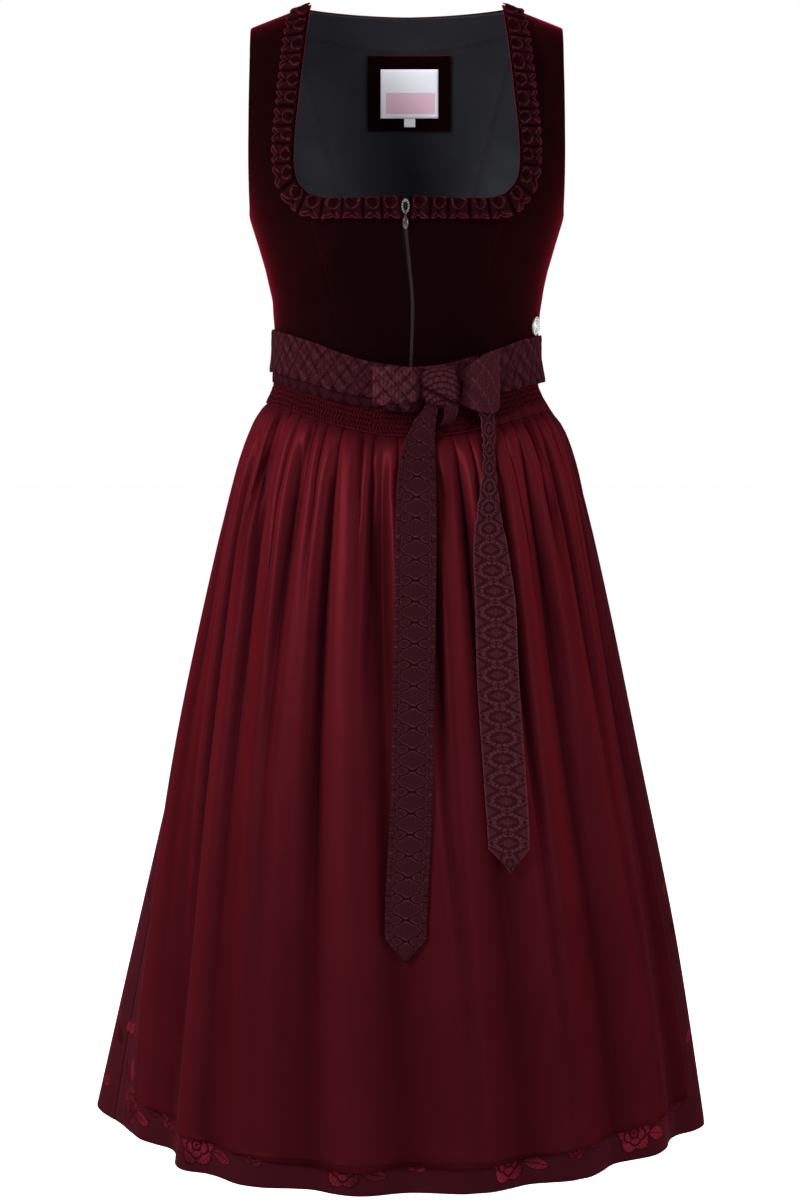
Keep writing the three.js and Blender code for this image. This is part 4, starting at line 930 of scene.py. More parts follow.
def make_bodice():
    rows = np.linspace(0, 1, 76)
    for side, word in ((-1, "left"), (1, "right")):
        # Centre front, from the zip to the bust seam
        seam_angle, seam_level = edge_places(BUST_SEAM, rows, side, -1)
        share = even_share(28)[None, :]
        top_x = mix(ZIP_LINE.at(NECK_EDGE[0][1]).x + side * ZIP_EDGE, side * BUST_SEAM[-1][0], share)
        neck = Table("x z", *NECK_EDGE[: NECK_CORNER + 1])
        _, top_level = torso_place(top_x, neck.at(np.abs(top_x)).z, -1)
        rise = ((seam_level - seam_level[0]) / (seam_level[-1] - seam_level[0]))[:, None]
        level = top_level * rise
        zip_z = mix(SEAM_LOW, NECK_EDGE[0][1], rise[:, 0])
        zip_angle, _ = torso_place(ZIP_LINE.at(zip_z).x + side * ZIP_EDGE, zip_z, -1)
        angle = mix(zip_angle[:, None], seam_angle[:, None], share)
        points = seam_roll(torso(angle, level, -1), torso_normal(angle, level, -1))
        velvet_piece(f"velvet_front_centre_{word}", points, f"bodice_front_centre_{word}")
        # Side front with its strap
        low_rows, neck_rows = 6, 8
        r = rows * (low_rows + neck_rows)
        low_angle, low_level = edge_places(BUST_SEAM, np.clip(r / low_rows, 0, 1), side, -1)
        along_neck = np.clip((r - low_rows) / neck_rows, 0, 1)
        neck_angle, neck_level = edge_places(NECK_EDGE[NECK_CORNER:], along_neck, side, -1)
        angle = np.where(r <= low_rows, low_angle, neck_angle)
        level = np.where(r <= low_rows, low_level, neck_level)
        level[0], level[-1] = 0.0, 2.0
        end = outer_edge(rows, side, -1, 5, 9, ARMHOLE)
        end[1][-1] = 2.0
        panel(f"velvet_front_side_{word}", (angle, level), end, -1, f"bodice_front_side_{word}")
        # Side back, from the curved seam to the side seam
        start = edge_places(BACK_SEAM, rows, side, 1)
        start[1][0] = 0.0
        end = outer_edge(rows, side, 1, 4, 4, ARMHOLE[:6])
        panel(f"velvet_back_side_{word}", start, end, 1, f"bodice_back_side_{word}")


def back_edge(rows):
    """Side edge of the back's middle piece, up to the shoulder tip."""
    seam_rows = len(BACK_SEAM) - 1
    strap = [torso_place(SHOULDER_TIP_X, z, 1) for z in (*BACK_STRAP_ROWS, ridge(SHOULDER_TIP_X))]
    r = rows * (seam_rows + len(strap))
    seam_angle, seam_level = edge_places(BACK_SEAM, np.clip(r / seam_rows, 0, 1), 1, 1)
    at = seam_rows + np.arange(len(strap) + 1)
    angles = [seam_angle[-1], *(float(angle) for angle, _ in strap)]
    levels = [seam_level[-1], *(float(level) for _, level in strap[:-1]), 2.0]
    angle = np.where(r <= seam_rows, seam_angle, np.interp(r, at, angles))
    level = np.where(r <= seam_rows, seam_level, np.interp(r, at, levels))
    level[0] = 0.0
    return angle, level


def back_neck_level(x):
    drop = -BACK_NECK_DROP * (1 - (np.abs(x) / SHOULDER_NECK_X) ** 1.4)
    level = torso_place(x, drop, 1)[1]
    return np.where(np.abs(x) >= SHOULDER_NECK_X - 0.5, 2.0, level)


def back_places(edge, share, reach):
    """Angles and levels of the back. Only its top rows bend down to the neck's edge."""
    lowered = back_neck_level(reach * share)[None, :] / 2 - 1
    level = 2 * edge[1][:, None] / edge[1][-1]
    bend = np.clip((level - NECK_BEND_FROM) / (2 - NECK_BEND_FROM), 0, 1)
    return edge[0][:, None] * share[None, :], level * (1 + lowered * bend)


def make_back():
    rows = np.linspace(0, 1, 84)
    share = 2 * even_share(74) - 1
    edge = back_edge(rows)
    angle, level = back_places(edge, share, SHOULDER_TIP_X)
    points = torso(angle, level, 1)
    normal = torso_normal(angle, level, 1)
    points = seam_roll(points, normal)
    # A shallow groove down the middle
    points = points - normal * (0.5 * bump(points[..., 0], 0, 1.2))[..., None]
    velvet_piece("velvet_back_centre", points, "bodice_back_centre",
                 outward=(0, 1, 0.2))
    # Lining of the back, with a facing along the neck and two curved seams
    levels = np.linspace(0.02, 1.98, 80)
    reach = np.degrees(np.arcsin(np.clip(LINING_REACH / TORSO.at(levels).half, -1, 1)))
    lining_edge = (np.where(levels < 1, LINING_SIDE, reach), levels)
    share = np.linspace(-1, 1, 90)
    angle, level = back_places(lining_edge, share, LINING_REACH)
    points = torso(angle, level, 1)
    normal = torso_normal(angle, level, 1)
    x, z = points[..., 0], points[..., 2]
    seam_x = np.interp(z, [-317, -215, -146, -82, -20], [52, 56, 70, 88, 104])
    seams = 0.8 * bump(np.abs(x), seam_x, 1.3)
    edge_low = -25 - 11 * (1 - np.clip(np.abs(x) / 86, 0, 1) ** 1.6)
    facing = 0.9 * smooth_step(-0.8, 0.8, z - edge_low)
    slack = 1.1 * uneven(x * 0.022 + z * 0.03, 4) * smooth_step(-60, -130, z)
    depth = VELVET + LINING_GAP + seams - facing * 0.6 + 0.6 * slack
    points = points - normal * depth[..., None]
    # Painted shade in the seam grooves and just below the facing's edge
    dark = bump(z - edge_low + 1.0, 0, 1.2) + 0.7 * bump(np.abs(x), seam_x, 1.6)
    cloth("lining_back", points, LINING, lining, "back_lining",
          outward=(0, 1, 0), painted_shading_and_pattern=-dark)


def make_label(name, left, right, low, high, inside, thick, finish, node, puff=0.0):
    x = np.linspace(left, right, 26)[None, :]
    z = np.linspace(low, high, 22)[:, None]
    angle, level = torso_place(x, z, 1)
    normal = torso_normal(angle, level, 1)
    u = (x - left) / (right - left)
    v = (z - low) / (high - low)
    rim = np.minimum(np.minimum(u, 1 - u) * (right - left), np.minimum(v, 1 - v) * (high - low))
    lift = puff * np.exp(-rim / 1.5)
    points = torso(angle, level, 1) - normal * (inside + thick - lift)[..., None]
    return cloth(name, points, thick, finish, node,
                 outward=(0, -1, 0))


def make_labels():
    patch = VELVET + LINING_GAP + LINING + LABEL_GAP + 0.2
    make_label("label_backing", -37.3, 42.2, -108.2, -38.6, patch, VELVET, velvet, "label_patch",
               0.5)
    over = patch + VELVET + LABEL_GAP / 2
    make_label("neck_label", -25.2, 31, -95.9, -50.3, over, 0.5, label_white, "woven_label",
               0.2)
    make_label("size_label", -2.2, 8.6, -104, -93.8, over - 0.6, 0.4, size_white, "size_tab")


# Neck trim
def beside_neck(share, out, side):
    """Place beside the neck edge: a share of the way along it and a distance out from it."""
    fine = np.linspace(0, 1, 400)
    x, z = on_curve(NECK_EDGE, fine)
    run = np.concatenate([[0], np.cumsum(np.hypot(np.diff(x), np.diff(z)))])
    t = np.interp(np.clip(share, 0, 1), run / run[-1], fine)
    angle, level = edge_places(NECK_EDGE, t, side, -1)
    level = np.where(share >= 0.999, 2.0, level)
    at = torso(angle, level, -1)
    heading = unit(np.gradient(at, axis=0))
    per_angle = (torso(angle + 0.5, level, -1) - at) / 0.5
    step = np.where(level > 1.9, -0.01, 0.01)
    per_level = (torso(angle, level + step, -1) - at) / step[:, None]
    n = torso_normal(angle, level, -1)
    away = unit(np.cross(n, heading))
    sign = np.sign(away[:, 0] * at[:, 0] + away[:, 2] * (at[:, 2] - NECK_MIDDLE_Z))
    away = away * sign[:, None]
    aa = np.sum(per_angle * per_angle, axis=1)
    al = np.sum(per_angle * per_level, axis=1)
    ll = np.sum(per_level * per_level, axis=1)
    ra = np.sum(away * per_angle, axis=1)
    rl = np.sum(away * per_level, axis=1)
    det = aa * ll - al * al
    angle_rate = ((ra * ll - rl * al) / det)[:, None]
    level_rate = ((aa * rl - al * ra) / det)[:, None]
    to_angle = angle[:, None] + angle_rate * out
    to_level = np.minimum(level[:, None] + level_rate * out, 2.0)
    return torso(to_angle, to_level, -1), np.broadcast_to(n[:, None, :], (*to_angle.shape, 3))


def make_trim(side, word, start):
    """Box-pleated velvet strip, each pleat pinched shut in its middle and open at both ends."""
    steps = TRIM_MOTIFS * 20
    share = np.linspace(start, 1, steps + 1)
    phase = np.linspace(0, TRIM_MOTIFS, steps + 1)
    t = np.mod(phase + 0.1 * uneven(phase * 1.9, side + 4), 1.0)[:, None]
    d = np.linspace(0.02, 1, 26)[None, :]
    valley = np.abs(t - 0.5) * 2
    size = 1 + 0.14 * uneven(phase * 2.1, side + 2)[:, None]
    pinch = bump(d, 0.64, 0.1) * bump(t, 0.5, 0.13)
    mouth = bump(t, 0.5, 0.2) * smooth_step(0.6, 0.2, d)
    loose = 0.07 * uneven(phase[:, None] * 3.7 + d * 4, 6)
    ring = (t - 0.5 + loose) ** 2 / 0.085 + (d - 0.24 + 0.5 * loose) ** 2 / 0.085
    lip = bump(ring, 1, 0.45)
    flare = smooth_step(0.68, 1.0, d) * (bump(t, 0.22, 0.12) + bump(t, 0.78, 0.12))
    ridge_up = 1 - smooth_step(0.72, 1.0, valley)
    height = 1.1 + size * (2.0 * ridge_up + 1.7 * lip - 1.9 * mouth * ridge_up + 2.0 * flare - 1.8 * pinch)
    fan = np.abs(np.abs(t - 0.5 + loose) - 0.06 - 0.32 * smooth_step(0.55, 1.0, d))
    # thread is painted highlight lines along the pleats' lips, fans and outer edge; shade is painted shade in
    # the mouths, pinches and valleys
    thread = np.maximum(bump(ring, 1, 0.13), bump(fan, 0, 0.03) * smooth_step(0.5, 0.66, d))
    thread = np.maximum(thread, 0.8 * bump(d, 0.98, 0.03))
    shade = np.maximum(0.5 * mouth * smooth_step(1.0, 0.4, ring), pinch)
    shade = np.maximum(shade, smooth_step(0.75, 1.0, valley))
    end = smooth_step(1.0, 0.965, share)[:, None]
    notch = 0.13 * bump(t, 0.5, 0.1) + 0.1 * smooth_step(0.8, 1.0, valley)
    reach = 1 - notch * smooth_step(0.55, 1.0, d)
    out = d * TRIM_WIDTH * reach * mix(0.55, 1.0, np.sqrt(np.clip((1 - share) / 0.03, 0, 1)))[:, None]
    base, n = beside_neck(share, out, side)
    height = np.clip(height, 0.5, 5.4) * mix(0.35, 1.0, end)
    points = base + n * (LAY_GAP + 0.5 + height)[..., None]
    cloth(f"trim_{word}", points, 1.1, trim_velvet, f"neck_trim_{word}",
          outward=(0, -1, 0.3), painted_shading_and_pattern=np.clip(thread - shade * 0.9, -1, 1))


# Zip
def zip_front(z, x):
    angle, level = torso_place(x, z, -1)
    return torso(angle, level, -1)[..., 1]


def make_zip():
    tape_low, slider_low, first_tooth, pitch = -340.5, -190.0, -340.0, 1.5
    z = np.linspace(tape_low, -177, 200)
    x = ZIP_LINE.at(z).x
    y = zip_front(z, x)
    share = np.linspace(-1, 1, 9)[None, :]
    points = stack(x[:, None] + share * ZIP_HALF, y[:, None] + 0.9, z[:, None])
    cloth("zip_tape", points, 0.6, zip_cloth, "zip_chain",
          outward=(0, -1, 0))
    bm = bmesh.new()
    for k in range(int((slider_low - tape_low) / pitch)):
        at = first_tooth + k * pitch
        for side in (-1, 1):
            here = at + (0.5 * pitch if side > 0 else 0)
            middle_x = float(ZIP_LINE.at(here).x)
            middle_y = float(zip_front(here, middle_x)) + 0.25
            size = Matrix.Diagonal((1.5, 0.9, 0.75, 1))
            place = Matrix.Translation(Vector((middle_x + side * 0.62, middle_y, here)))
            turn = Matrix.Rotation(side * 0.18, 4, "Y")
            form = Matrix.Scale(MM, 4) @ place @ turn @ size @ Matrix.Scale(1 / MM, 4)
            bmesh.ops.create_icosphere(bm, subdivisions=1, radius=0.5 * MM, matrix=form)
    for face in bm.faces:
        face.smooth = True
    finish_mesh("zip_teeth", bm, [zip_coil])


# Apron, skirt and waist
def seam_dip(columns, *seams):
    """How far the cloth sinks into the side seams, which stand at the given columns."""
    return sum(0.5 * bump(columns, seam, 0.1) for seam in seams)


def rolled_hem(heights, low):
    """Thin rolled edge along a hem."""
    return 0.2 * bump(heights - low, 2.0, 1.6) - 0.4 * bump(heights - low, 5.6, 1.0)


def make_skirt():
    left, right = -SEAM_COLUMN, APRON_COLUMNS + SEAM_COLUMN
    end = APRON_COLUMNS + BACK_COLUMNS - SEAM_COLUMN
    top = float(SKIRT.at(0).z)
    for name, node, first, last, count, rows, wide in (
        ("jacquard_front", "skirt_front", left, right, 232, 80, 800),
        ("jacquard_back", "skirt_back", right, end, 240, 84, 900),
    ):
        columns = np.linspace(first, last, count)
        heights = np.concatenate([HEM_Z + np.array(HEM_ROLL_ROWS), np.linspace(HEM_Z + 9, top, rows)])
        points, normal = skirt_grid(columns, heights[:, None])
        move = rolled_hem(heights, HEM_Z)[:, None] - seam_dip(columns, first, last)[None, :]
        points = points + normal * move[..., None]
        cloth(name, points, SKIRT_CLOTH, jacquard, node)


def make_apron():
    columns = np.linspace(0, APRON_COLUMNS, 350)
    share = columns / APRON_COLUMNS
    hem = -1003.5 + 7.5 * np.abs(2 * share - 1) ** 2.2 - 3.5 * np.cos(math.pi * (share - 0.5)) ** 2
    hem = hem + 1.0 * uneven(share * 9, 11)
    rise = [(0, 0.0016, 0.0034, 0.006), np.linspace(0.009, 0.88, 78), np.linspace(0.886, 1, 24)]
    rise = np.concatenate(rise)
    heights = hem[None, :] + rise[:, None] * (WAIST_SIDE - SMOCK_BELOW + 2.5 - hem[None, :])
    points, normal = skirt_grid(columns, heights)
    above_hem = heights - hem[None, :]
    stitched = 0.5 * bump(above_hem, 32, 1.5)
    slack = 1.2 * smooth_step(120, 0, above_hem) * uneven(share * 26, 13)[None, :] + 0.8
    inset = np.minimum(columns, APRON_COLUMNS - columns)
    edge_roll = 0.5 * bump(inset, 0, 0.12) + 0.35 * bump(inset, 0.9, 0.12)
    slack = slack - 2.0 * smooth_step(-369, -362.5, heights)
    out = LAY_GAP + APRON_CLOTH + slack - stitched - edge_roll[None, :] + rolled_hem(heights, hem[None, :])
    # Painted fold shading, darker towards the hem, with painted shade along the hem's edge and the side edges
    tone = painted_fold_shading(columns[None, :] + 0 * heights, heights) - 0.22 * smooth_step(-650, -950, heights)
    tone = tone - 0.5 * bump(above_hem, 0, 3.5) - 0.3 * bump(inset, 0, 0.25)
    points = points + normal * out[..., None]
    cloth("satin_apron", points, APRON_CLOTH, satin, "apron",
          painted_shading_and_pattern=np.clip(tone, -1, 1))


def drawn_in(angle):
    """How strongly the bow draws the sash together at an angle, from 0 to 1."""
    return bump(angle, 6, 30)


def make_smocking():
    """Rows of shirring that draw the satin into fine ribs and let it go in uneven gathers."""
    ribs = 122
    columns = np.linspace(0, APRON_COLUMNS, ribs * 5 + 1)
    heights = np.linspace(WAIST_SIDE - SMOCK_BELOW, -327.5, 26)[:, None]
    points, normal = skirt_grid(columns, heights)
    share = (columns / APRON_COLUMNS)[None, :]
    above = heights - WAIST_SIDE + 0 * share
    edge = -47.0 + 6.5 * smooth_step(0.66, 0.9, share) + 1.2 * uneven(share * 70, 8)
    shirred = smooth_step(edge - 2.2, edge + 1.6, above)
    course = above / 4.4 + 0.25 * uneven(share * 30, 9)
    step = 0.25 * np.sign(np.sin(math.pi * course)) * np.minimum(np.abs(np.sin(math.pi * course)) * 3, 1)
    wave = np.cos(2 * math.pi * (ribs * share + step) + 1.3 * uneven(share * 45, 6))
    thread = bump(np.mod(course, 1.0), 0.5, 0.16)
    rise = shirred * (0.6 * wave * (1 - 0.75 * thread) - 0.5 * thread)
    top = smooth_step(-20, -29, above)
    lay = mix(0.9, 1.55, top) + 0.1 * (1 - shirred)
    # Painted light on the shirred ribs' crests and painted shade in their troughs and at the threads; below
    # the shirring, a lighter band with the skirt's painted fold shading
    gathers = painted_fold_shading(columns[None, :] + 0 * heights, heights + 0 * share)
    points = points + normal * (LAY_GAP + lay + rise)[..., None]
    cloth("apron_shirring", points, 0.9, shirred_satin, "apron_smocking",
          painted_shading_and_pattern=np.clip(rise * 1.6 + (0.4 + 0.6 * gathers) * (1 - shirred), -1, 1))


def make_waistband():
    length = 330.0
    columns = np.linspace(0, 1, 270)[None, :]
    v = np.linspace(0, 1, 20)[:, None]
    angle = mix(APRON_LEFT_TOP, APRON_RIGHT, columns)
    low = -BAND_BELOW + 6.5 * drawn_in(angle) + 8 * smooth_step(18, 42, angle)
    low = low + 0.5 * uneven(angle * 0.2, 12)
    above = mix(low, TIE_WIDTH - BAND_BELOW, v)
    off = np.interp(above, [-BAND_BELOW, -SMOCK_TOP_BELOW, TIE_WIDTH - BAND_BELOW], [3.2, 2.7, 0.4]) + 1.0
    puff, painted_shading_and_pattern = quilt_rows(v - 0.5, columns * length / LOZENGE_PITCH)
    roll = bump(v * TIE_WIDTH, 0, 1.2)
    points = waist_point(angle, above, off + 0.15 * puff - 0.6 * roll)
    cloth("band_of_apron", points, 1.0, quilted, "apron_waistband",
          painted_shading_and_pattern=0.6 * painted_shading_and_pattern - 0.35)


# Ties
def lump(distance):
    """Round cushion over a measure that is 0 in its middle and 1 at its edge."""
    return np.sqrt(np.clip(1 - distance**2, 0, 1))


def small_beads(across, run, wide, long):
    """Staggered rows of small beads."""
    row = np.floor(run / long)
    u = np.mod(across / wide + 0.5 * np.mod(row, 2), 1.0) - 0.5
    v = np.mod(run / long, 1.0) - 0.5
    return lump(np.hypot(u, v) * 1.9)


# Woven cushions in one repeat of the tie: place across, place along, half width and half length
SCALES = (
    (0.24, 0.5, 0.14, 0.19),
    (0.43, 0.5, 0.07, 0.13),
    (0.41, 0.22, 0.1, 0.14),
    (0.41, 0.78, 0.1, 0.14),
    (0.47, 0.0, 0.06, 0.14),
)


def quilt(across, run):
    """Height and tone of the woven scales.

    They are domed above and pointed below, with smaller ones down both sides.

    Across is -0.5 to 0.5 over the width of the tie, and run counts repeats along it.
    """
    across, run = np.broadcast_arrays(across, run)
    v = np.mod(run + 0.5, 1.0) - 0.5
    w = np.abs(across) / 0.36
    cushions = [
        np.where(v < 0, w**1.7 + np.abs(v) / 0.44, w**1.1 + v / 0.44),
        np.where(v < 0, w**1.1 + (1 + v) / 0.44, w**1.7 + (1 - v) / 0.44),
    ]
    for middle, along, wide, long in SCALES:
        away = np.mod(run - along + 0.5, 1.0) - 0.5
        cushions.append(np.hypot((np.abs(across) - middle) / wide, away / long))
    nearest, second = np.sort(np.stack(cushions), axis=0)[:2]
    apart = second - nearest
    groove = bump(apart, 0, 0.2)
    ribs = np.cos(2 * math.pi * across * 11) * (apart > 0.6)
    height = lump(0.75 * nearest) * (0.95 + 0.05 * ribs) * (1 - 0.75 * groove)
    # thread is a painted highlight along the cushions' edges; the grooves between cushions get painted shade
    thread = 0.6 * bump(apart, 0.4, 0.17)
    return height, np.clip(0.02 + thread - groove + 0.1 * ribs, -1, 1)


def quilt_rows(across, run):
    """Two staggered rows of tall narrow lozenges, with half ones along both edges."""
    across, run = np.broadcast_arrays(across, run)
    distance = np.full(across.shape, 9.0)
    for shift, middle in ((0.0, 0.2), (0.5, -0.08), (0.0, -0.36), (0.5, 0.48)):
        v = np.mod(run - shift + 0.5, 1.0) - 0.5
        distance = np.minimum(distance, np.abs(across - middle) / 0.28 + np.abs(v) / 0.5)
    beads = small_beads(across, run, 0.075, 0.25)
    height = 0.8 * lump(distance) + 0.3 * beads
    worn = 0.22 * uneven(run * 2.3 + across * 9, 14) + 0.15 * uneven(run * 5.1 - across * 14, 15)
    # Painted shade in the grooves between the lozenges
    tone = 0.35 * beads - 0.18 + worn - (0.6 - worn) * smooth_step(0.75, 1.0, distance)
    return height, np.clip(tone, -1, 1)


def quilt_beaded(across, run):
    """Lozenges in a ring of beads, with crossing beaded lines between them, as on the tie's other face."""
    across, run = np.broadcast_arrays(across, run)
    v = np.mod(run + 0.5, 1.0) - 0.5
    turned = np.arctan2(v / 0.3, across / 0.31)
    middle = np.abs(across) / 0.23 + np.abs(v) / 0.23
    ring = np.hypot(across / 0.32, v / 0.35)
    ring_beads = lump(np.hypot((ring - 1) / 0.2, (np.mod(turned * 16 / (2 * math.pi), 1) - 0.5) * 2.1))
    lines = np.abs(across) / 0.5 + np.abs(v) / 0.5
    line_beads = lump(np.hypot((lines - 1.08) / 0.11, (np.mod(np.abs(across) * 12, 1) - 0.5) * 2.1))
    side = np.mod(run, 1.0) - 0.5
    corner = lump((0.5 - np.abs(across)) / 0.26 + np.abs(side) / 0.34)
    height = np.maximum(lump(middle**1.3), np.maximum(0.85 * ring_beads, 0.7 * line_beads))
    height = np.maximum(height, 0.8 * corner)
    edge = 0.7 * bump(0.5, np.abs(across), 0.02)
    ribs = 0.1 * np.cos(2 * math.pi * across * 11) * (middle < 0.85)
    # Painted shade in the low places; the line down both edges is pale edge thread with a painted glint
    tone = -0.34 * smooth_step(0.3, 0.0, height) + 0.3 * np.maximum(ring_beads, line_beads) + edge + ribs
    return height, np.clip(tone, -1, 1)


def quilt_fan(across, run):
    """Rows of scales on arcs that open upwards like a fan, on the knot."""
    across, run = np.broadcast_arrays(across, run)
    radius = np.hypot(across * 1.5 - 0.15, (run - 2.9) * 0.62) * 6.2
    turned = np.arctan2(across * 1.5 - 0.15, (2.9 - run) * 0.62) * 4.6 + 0.5 * np.mod(np.floor(radius), 2)
    distance = np.hypot((np.mod(radius, 1) - 0.5) * 2.0, (np.mod(turned, 1) - 0.5) * 1.7)
    height = 0.7 * lump(distance)
    # Painted shade between the scales
    return height, np.clip(0.1 - 0.75 * smooth_step(0.7, 1.1, distance), -1, 1)


def quilt_crossed(across, run):
    """Coarse crossing lines of pale stitches, on the right loop."""
    across, run = np.broadcast_arrays(across, run)
    one = np.mod(run * 1.25 + across * 2.2, 1.0) - 0.5
    two = np.mod(run * 1.25 - across * 2.2 + 0.3, 1.0) - 0.5
    line = bump(np.minimum(np.abs(one), np.abs(two)), 0, 0.035)
    dashes = 0.6 + 0.4 * np.sign(np.cos((run + across) * 2 * math.pi * 9))
    beads = small_beads(across, run, 0.07, 0.14)
    height = 0.7 - 0.7 * line + 0.25 * beads
    return height, np.clip(-0.12 + 0.7 * line * dashes + 0.2 * beads, -1, 1)


TIE_RELIEF = 1.55
TAIL_POINT = 19.0
SASH_START = 32.0
SASH_TOP_OFF = 1.0
SASH_LOW_OFF = 4.8


def make_sash():
    length = 690.0
    columns = np.linspace(0, 1, 620)[None, :]
    v = np.linspace(0, 1, 34)[:, None]
    angle = SASH_START + 0.6 + columns * (360 - 1.2)
    turned = np.mod(angle + 180, 360) - 180
    drawn = drawn_in(turned)
    half = TIE_WIDTH / 2 * (1 - 0.27 * drawn)
    droop = 4.5 * smooth_step(24, 50, turned) * (1 - smooth_step(105, 140, turned))
    above = mix(-half - droop, half, v) + 0.8 * uneven(columns * 22, 7)
    puff, painted_shading_and_pattern = quilt_rows(v - 0.5, columns * length / LOZENGE_PITCH)
    roll = bump(np.minimum(v, 1 - v) * TIE_WIDTH, 0, 1.3)
    crease = 1.1 * drawn * np.cos(2 * math.pi * (v * 2.2 + turned * 0.012))
    off = mix(SASH_LOW_OFF, SASH_TOP_OFF, v) + TIE_CLOTH + 0.8 * puff - 0.5 * roll + 0.25 + crease
    points = waist_point(angle, above, off)
    cloth("tie_round_waist", points, TIE_CLOTH, quilted, "waist_tie",
          painted_shading_and_pattern=painted_shading_and_pattern)


def ribbon(
    name, node, middle, across, face, width, run, thick=TIE_CLOTH, pattern=quilt, count=40, tip=None,
    outward=(0, -1, 0), strength=1.0, dents=None, pitch=QUILT_PITCH, tone=0.0,
):
    """Quilted ribbon along stations: middle, unit direction across, face direction and width of each."""
    share = np.linspace(-0.5, 0.5, count)[None, :]
    puff, painted_shading_and_pattern = pattern(share, (run / pitch)[:, None])
    edge = bump((0.5 - np.abs(share)) * TIE_WIDTH, 0, 1.2)
    lift = thick + TIE_RELIEF * strength * puff - 0.5 * edge
    if dents is not None:
        lift = lift + dents(share, np.linspace(0, 1, len(run))[:, None])
    if tip is not None:
        share = share * tip[:, None]
    place = middle[:, None, :] + across[:, None, :] * (share * width[:, None])[..., None]
    points = place + face[:, None, :] * lift[..., None]
    return cloth(name, points, thick, quilted, node,
                 outward=outward, painted_shading_and_pattern=np.clip(painted_shading_and_pattern + tone, -1, 1))


# Bow: x, y and the heights of both edges at stations along each loop
LOOP_LEFT = (
    (17, -103.6, -327, -351), (11, -105.5, -325, -353.5), (-6, -109, -324, -355), (-21, -108.4, -323.6, -357),
    (-27, -103.6, -324, -358), (-21, -97.6, -327, -360.5), (-6, -98.2, -330, -363.5), (11, -99, -333, -362),
    (17, -99, -335, -357),
)
LOOP_RIGHT = (
    (41, -103, -331, -352), (49, -106, -326, -357), (59, -106.6, -319, -361.5), (69, -103.6, -312.5, -364),
    (77, -96.5, -309.5, -364.5), (80.5, -89.5, -311, -360), (75, -85.5, -314, -353), (58, -88.8, -319, -350),
    (48, -95, -333, -350.5), (41, -97.4, -335, -350),
)


def run_along(points):
    return np.concatenate([[0], np.cumsum(np.linalg.norm(np.diff(points, axis=0), axis=1))])


def make_loop(name, node, path, pattern, dents, pitch, tone, knot_from, knot_to):
    """Loop whose cloth has painted shade between two x values, where it goes into the knot."""
    steps = Table("t x y top low", *[(i, *p) for i, p in enumerate(path)])
    at = steps.at(np.linspace(0, len(path) - 1, 170))
    flat = stack(at.x, at.y, 0)
    heading = unit(np.gradient(flat, axis=0))
    face = stack(heading[:, 1], -heading[:, 0], 0)
    if np.sum(face * (flat - flat.mean(axis=0))) < 0:
        face = -face
    middle = stack(at.x, at.y, (at.top + at.low) / 2)
    up = stack(0 * at.x, 0, 1)
    ribbon(name, node, middle, up, face, at.top - at.low, run_along(flat), thick=1.2, pattern=pattern,
           outward=tuple(face[40]), strength=0.7, dents=dents, pitch=pitch, count=44,
           tone=tone - 0.9 * smooth_step(0, 1, (at.x - knot_from) / (knot_to - knot_from))[:, None])


def left_dents(share, t):
    droop = 1.3 * bump(share, 0.1, 0.16) * smooth_step(0.35, 0.02, t)
    return -droop - 0.9 * bump(share, -0.26, 0.1) * smooth_step(0.4, 0.05, t)


def right_dents(share, t):
    fold = 2.4 * bump(share + 0.55 * t * 3.2, 0.28, 0.07) * smooth_step(0.5, 0.3, t)
    return -fold - 1.2 * bump(share - 0.9 * t, 0, 0.06) * smooth_step(0.45, 0.25, t)


KNOT = SimpleNamespace(left=11.5, right=46.5, top=-329.0, low=-356.0, back=-97.2, front=-112.5)


def knot_dents(share, t):
    rim = (0.5 - np.abs(share)) * (KNOT.right - KNOT.left)
    rounded = 2.6 * bump(rim, 0, 3.2) - 1.6 * (1 - (2 * share) ** 2)
    fold = 2.4 * bump(t - 0.69 - 0.28 * share, 0, 0.035)
    pinch = 1.1 * bump(share - 0.3 + 0.2 * t, 0, 0.05) * smooth_step(0.1, 0.4, t)
    return -rounded - fold - pinch


def make_knot():
    count = 110
    t = np.radians(np.linspace(98, -76, count))
    high = KNOT.top - KNOT.low + 4
    deep = KNOT.back - KNOT.front - 1.5
    y = KNOT.back - deep * np.cos(t)
    z = (KNOT.top + KNOT.low) / 2 + high / 2 * np.sin(t)
    face = unit(stack(0, -np.cos(t) / deep, np.sin(t) / (high / 2)))
    middle = stack((KNOT.left + KNOT.right) / 2 + np.linspace(-0.6, 1.2, count), y, z)
    across = unit(stack(1, 0, np.linspace(0.0, -0.2, count)))
    width = np.interp(np.linspace(0, 1, count), [0, 0.3, 0.7, 1], [34, 36.5, 36, 31])
    share, down = np.linspace(-0.5, 0.5, 54)[None, :], np.linspace(0, 1, count)[:, None]
    fold = bump(down - 0.69 - 0.28 * share, 0, 0.03)
    shade = 0.95 * bump(0.5, np.abs(share), 0.07) + 0.9 * fold + 0.5 * smooth_step(0.8, 1.0, down)
    ribbon("bow_centre", "bow_knot", middle, across, face, width, run_along(middle), thick=1.3,
           pattern=quilt_fan, count=54, dents=knot_dents, tone=0.15 - shade)


def make_curl():
    """Short turned-up end that hangs below the knot."""
    path = Table("t x y z", (0, 38, -99.5, -351), (1, 39.5, -104.5, -358), (2, 38.5, -107.2, -365),
                 (3, 35.5, -105.5, -371), (4, 33, -101.5, -372.5))
    at = path.at(np.linspace(0, 4, 70))
    middle = stack(at.x, at.y, at.z)
    heading = unit(np.gradient(middle, axis=0))
    across = unit(stack(0 * at.x + 1, 0.35, 0.25))
    face = unit(np.cross(across, heading))
    if face[20, 1] > 0:
        face = -face
    width = np.interp(np.linspace(0, 1, 70), [0, 0.5, 1], [15, 14, 9])
    ribbon("bow_curl", None, middle, across, face, width, run_along(middle), thick=1.2, strength=0.7,
           count=26, tone=-0.1)


